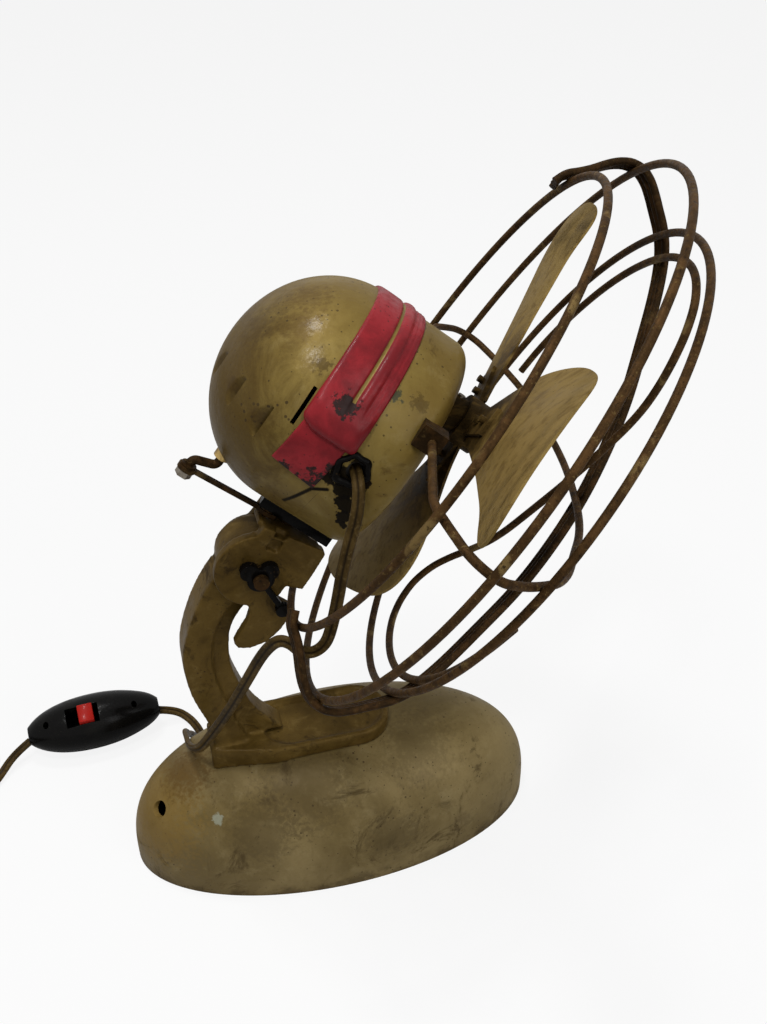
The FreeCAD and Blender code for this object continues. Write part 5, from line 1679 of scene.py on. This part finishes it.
@dataclass
class CordFrame:
    """Thick black frame round the place where the cord leaves the motor."""

    spot: Point = (1.6, -50.1, -27.2)
    ring: float = 0.0056
    wire: float = 0.0014

    def build(self, material: bpy.types.Material) -> None:
        """Makes the frame.

        Args:
            material: The finish.
        """
        Bench.clear()
        bpy.ops.mesh.primitive_torus_add(major_radius=self.ring, minor_radius=self.wire,
                                         major_segments=48, minor_segments=12)
        frame = bpy.context.active_object
        frame.name = frame.data.name = "cord_frame"
        for vertex in frame.data.vertices:
            x, y, z = vertex.co
            turn = math.atan2(y, x)
            flat = 1.0 + 0.07 * math.cos(6.0 * turn)
            drop = 1.0 + 0.30 * max(0.0, -math.sin(turn + 0.5)) ** 2
            vertex.co = (x * flat * drop, y * flat * drop, z * 1.25)
        seat = Matrix.Translation(in_head(*self.spot)) @ HEAD.to_3x3().to_4x4() @ Matrix.Rotation(
            math.radians(90.0), 4, "X")
        Bench.place(frame, seat)
        Bench.take(frame)
        bpy.ops.object.shade_smooth()
        Bench.dress(frame, material)
        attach(frame, "head")


@dataclass
class Stand:
    """Base, foot pad, neck and their screws."""

    palette: Palette
    neck: Casting = field(default_factory=lambda: Casting(
        "neck_arm", "neck_casting", "stand", "gold_paint", voxel=0.0011))

    def build(self, nodes: dict[str, bpy.types.Object]) -> None:
        """Dresses the stand.

        Args:
            nodes: The solids by name.
        """
        self.neck.build(nodes, self.palette.cast_gold)
        Bench.paint(nodes["base_shell"], self.palette.base_gold)
        for name in ("base_plate", "base_screws", "neck_screws"):
            Bench.paint(nodes[name], self.palette.steel)
        Bench.paint(nodes["base_feet"], self.palette.rubber)
        LOG.info("stand dressed")


@dataclass
class TiltYoke:
    """Yoke with its bolt, clamp lever, post and anchor pin."""

    palette: Palette
    yoke: Casting = field(default_factory=lambda: Casting(
        "tilt_yoke", "yoke_casting", "yoke", "gold_paint", voxel=0.0007))
    lever: Casting = field(default_factory=lambda: Casting(
        "clamp_lever", "lever_casting", "lever", "black_paint", 0.0007))

    def build(self, nodes: dict[str, bpy.types.Object]) -> None:
        """Dresses the yoke and its hardware.

        Args:
            nodes: The solids by name.
        """
        self.yoke.build(nodes, self.palette.cast_gold)
        self.lever.build(nodes, self.palette.black)
        for name in ("tilt_bolt", "tilt_washer", "tilt_nut", "swivel_post", "thrust_collar",
                     "post_clip", "anchor_pin"):
            Bench.paint(nodes[name], self.palette.dark_wire)
        LOG.info("yoke dressed")


@dataclass
class MotorHead:
    """Shells, red bands, cradle and what they hold."""

    palette: Palette
    cradle: Casting = field(default_factory=lambda: Casting(
        "motor_cradle", "cradle_casting", "head", "black_paint", 0.0008))

    def build(self, nodes: dict[str, bpy.types.Object]) -> None:
        """Dresses the head.

        Args:
            nodes: The solids by name.
        """
        RearShell().build(self.palette.gold)
        BandTrim().build(self.palette.red, self.palette.gold)
        CordFrame().build(self.palette.black)
        self.cradle.build(nodes, self.palette.black)
        Bench.paint(nodes["front_housing"], self.palette.gold)
        for name in ("cradle_screws", "stator_core", "bearing_bracket", "rotor_core",
                     "rotor_shaft", "hub_set_screw", "crank_nut"):
            Bench.paint(nodes[name], self.palette.steel)
        for name in ("shaft_bearings", "crank_bush", "worm_wheel"):
            Bench.paint(nodes[name], self.palette.brass)
        Bench.paint(nodes["stator_coil"], self.palette.tape)
        Bench.paint(nodes["gearbox_case"], self.palette.case)
        Bench.paint(nodes["cord_grommet"], self.palette.rubber)
        for name in ("crank_rod", "link_rod"):
            Bench.paint(nodes[name], self.palette.dark_wire)
        LOG.info("head dressed")


@dataclass
class WireGuard:
    """Rings, spine, hoop, S wire and the clamps that hold them."""

    palette: Palette

    def build(self, nodes: dict[str, bpy.types.Object]) -> None:
        """Dresses the guard.

        Args:
            nodes: The solids by name.
        """
        for name in ("guard_ring_rear", "guard_ring_rim", "guard_ring_front", "guard_s_wire",
                     "guard_hoop"):
            Bench.paint(nodes[name], self.palette.wire)
        for name in ("guard_spine", "guard_clamps"):
            Bench.paint(nodes[name], self.palette.dark_wire)
        LOG.info("guard dressed")


@dataclass
class Impeller:
    """Hub, three blades and their rivets."""

    palette: Palette
    blades: int = 3

    def build(self, nodes: dict[str, bpy.types.Object]) -> None:
        """Dresses the fan.

        Args:
            nodes: The solids by name.
        """
        for name in ["fan_hub", "blade_rivets"] + [f"blade_{i + 1}" for i in range(self.blades)]:
            Bench.paint(nodes[name], self.palette.blade)
        LOG.info("fan dressed")


@dataclass
class CordSwitch:
    """In-line torpedo switch with its red slide, and the plug."""

    palette: Palette
    shells: tuple[Casting, ...] = (
        Casting("switch_upper_shell", "switch_upper_skin", "stand", "black_plastic", 0.0004, 2, 50),
        Casting("switch_lower_shell", "switch_lower_skin", "stand", "black_plastic", 0.0004, 2, 50),
    )
    slide: Casting = field(default_factory=lambda: Casting(
        "switch_button", "switch_slide", "button", "red_plastic", 0.0006))
    ends: tuple[Point, Point] = ((-0.0882, 0.0895, 0.012), (-0.1636, 0.0843, 0.012))
    fuller: float = 1.34
    slide_middle: float = 0.0425
    slide_shorter: float = 0.66
    roll: float = math.radians(-26.0)

    def _about(self, middle: float, length: float, girth: float) -> Matrix:
        """Gives the map that makes a piece fuller about the switch's own line.

        Args:
            middle: Place along the line that stays, in metres.
            length: Factor along the line.
            girth: Factor across it, with the underside kept on the floor.

        Returns:
            The map.
        """
        start, end = Vector(self.ends[0]), Vector(self.ends[1])
        way = (end - start).normalized()
        side = Vector((0.0, 0.0, 1.0)).cross(way)
        seat = Matrix.Translation(start + way * middle) @ Matrix(
            (way, side, Vector((0.0, 0.0, 1.0)))).transposed().to_4x4()
        lift = Matrix.Translation((0.0, 0.0, start.z * (girth - 1.0)))
        turn = Matrix.Rotation(self.roll, 4, "X")
        size = Matrix.Diagonal((length, girth, girth, 1.0))
        return lift @ seat @ turn @ size @ seat.inverted()

    def build(self, nodes: dict[str, bpy.types.Object]) -> None:
        """Dresses the switch and the plug.

        Args:
            nodes: The solids by name.
        """
        for shell in self.shells:
            Bench.place(shell.build(nodes, self.palette.bakelite),
                        self._about(0.0, 1.0, self.fuller))
        Bench.place(self.slide.build(nodes, self.palette.button),
                    self._about(self.slide_middle, self.slide_shorter, self.fuller))
        Bench.paint(nodes["switch_screws"], self.palette.steel)
        Bench.paint(nodes["plug_body"], self.palette.bakelite)
        Bench.paint(nodes["plug_pins"], self.palette.brass)
        LOG.info("switch and plug dressed")


# ---------------------------------------------------------------------------------------------
# Studio
# ---------------------------------------------------------------------------------------------


@dataclass
class Studio:
    """Camera, floor, lamps and the pale surroundings."""

    eye: Point = (-0.0750, -0.3840, 0.4954)
    target: Point = (0.02805, 0.0, 0.20218)
    lens: float = 25.29
    sensor: float = 24.0
    ambient: float = 0.25
    floor_colour: Colour = (0.68, 0.68, 0.68)

    def camera(self) -> None:
        """Makes the camera and sets it."""
        data = bpy.data.cameras.new("studio_camera")
        data.sensor_fit = "VERTICAL"
        data.sensor_height = self.sensor
        data.lens = self.lens
        data.clip_start = 0.01
        camera = bpy.data.objects.new("studio_camera", data)
        camera.location = self.eye
        look = Vector(self.target) - Vector(self.eye)
        camera.rotation_euler = look.to_track_quat("-Z", "Y").to_euler()
        bpy.context.scene.collection.objects.link(camera)
        bpy.context.scene.camera = camera

    def floor(self) -> None:
        """Makes the plain pale floor, which keeps the shadow."""
        Bench.clear()
        bpy.ops.mesh.primitive_grid_add(x_subdivisions=4, y_subdivisions=4, size=9.0)
        floor = bpy.context.active_object
        floor.name = "studio_floor"
        material = bpy.data.materials.new("pale_floor")
        material.use_nodes = True
        nodes, links = material.node_tree.nodes, material.node_tree.links
        diffuse = nodes["Principled BSDF"]
        diffuse.inputs["Base Color"].default_value = (*self.floor_colour, 1.0)
        diffuse.inputs["Roughness"].default_value = 0.9
        diffuse.inputs["Specular IOR Level"].default_value = 0.1
        glow = nodes.new("ShaderNodeEmission")
        glow.inputs["Color"].default_value = (1.0, 1.0, 1.0, 1.0)
        glow.inputs["Strength"].default_value = 1.0
        path = nodes.new("ShaderNodeLightPath")
        share = nodes.new("ShaderNodeMath")
        share.operation = "MULTIPLY"
        share.inputs[1].default_value = 0.87
        links.new(path.outputs["Is Camera Ray"], share.inputs[0])
        mix = nodes.new("ShaderNodeMixShader")
        links.new(share.outputs[0], mix.inputs["Fac"])
        links.new(diffuse.outputs[0], mix.inputs[1])
        links.new(glow.outputs[0], mix.inputs[2])
        links.new(mix.outputs[0], nodes["Material Output"].inputs["Surface"])
        floor.data.materials.append(material)

    def surroundings(self) -> None:
        """Makes a soft even world that the camera sees as white."""
        world = bpy.data.worlds.new("pale_room")
        bpy.context.scene.world = world
        world.use_nodes = True
        nodes, links = world.node_tree.nodes, world.node_tree.links
        room = nodes["Background"]
        room.inputs["Color"].default_value = (1.0, 1.0, 1.0, 1.0)
        room.inputs["Strength"].default_value = self.ambient
        white = nodes.new("ShaderNodeBackground")
        white.inputs["Color"].default_value = (1.0, 1.0, 1.0, 1.0)
        white.inputs["Strength"].default_value = 1.0
        path = nodes.new("ShaderNodeLightPath")
        seen = nodes.new("ShaderNodeMath")
        seen.operation = "MAXIMUM"
        links.new(path.outputs["Is Camera Ray"], seen.inputs[0])
        links.new(path.outputs["Is Transmission Ray"], seen.inputs[1])
        shown = nodes.new("ShaderNodeMath")
        shown.operation = "MAXIMUM"
        links.new(seen.outputs[0], shown.inputs[0])
        links.new(path.outputs["Is Glossy Ray"], shown.inputs[1])
        mix = nodes.new("ShaderNodeMixShader")
        links.new(shown.outputs[0], mix.inputs["Fac"])
        links.new(room.outputs[0], mix.inputs[1])
        links.new(white.outputs[0], mix.inputs[2])
        links.new(mix.outputs[0], nodes["World Output"].inputs["Surface"])

    @staticmethod
    def lamp(name: str, at: Point, aim: Point, size: float, power: float) -> None:
        """Makes one soft lamp.

        Args:
            name: The lamp's name.
            at: Its place.
            aim: What it points at.
            size: Its side, in metres.
            power: Its power, in watts.
        """
        data = bpy.data.lights.new(name, "AREA")
        data.shape = "SQUARE"
        data.size = size
        data.energy = power
        lamp = bpy.data.objects.new(name, data)
        lamp.location = at
        lamp.rotation_euler = (Vector(aim) - Vector(at)).to_track_quat("-Z", "Y").to_euler()
        bpy.context.scene.collection.objects.link(lamp)

    def build(self) -> None:
        """Sets the camera, floor, world and lamps."""
        self.camera()
        self.floor()
        self.surroundings()
        self.lamp("rear_top_lamp", (-0.16, 0.30, 1.71), (-0.04, 0.0, 0.20), 0.24, 11.0)
        self.lamp("front_top_lamp", (-0.38, -0.44, 1.66), (-0.04, 0.0, 0.20), 0.24, 11.0)
        self.lamp("fill_lamp", (0.75, -1.25, 0.85), (0.0, 0.0, 0.15), 1.0, 10.0)
        bpy.context.scene.view_settings.view_transform = "Standard"


def main() -> None:
    """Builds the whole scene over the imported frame."""
    logging.basicConfig(level=logging.INFO, format="%(name)s: %(message)s")
    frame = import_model()
    nodes = frame["nodes"]
    studio = Studio()
    studio.build()
    palette = Palette()
    CordSet(palette).build(nodes)
    Stand(palette).build(nodes)
    TiltYoke(palette).build(nodes)
    MotorHead(palette).build(nodes)
    WireGuard(palette).build(nodes)
    Impeller(palette).build(nodes)
    CordSwitch(palette).build(nodes)
    bpy.context.view_layer.update()
    LOG.info("scene built")


if __name__ == "__main__":
    main()
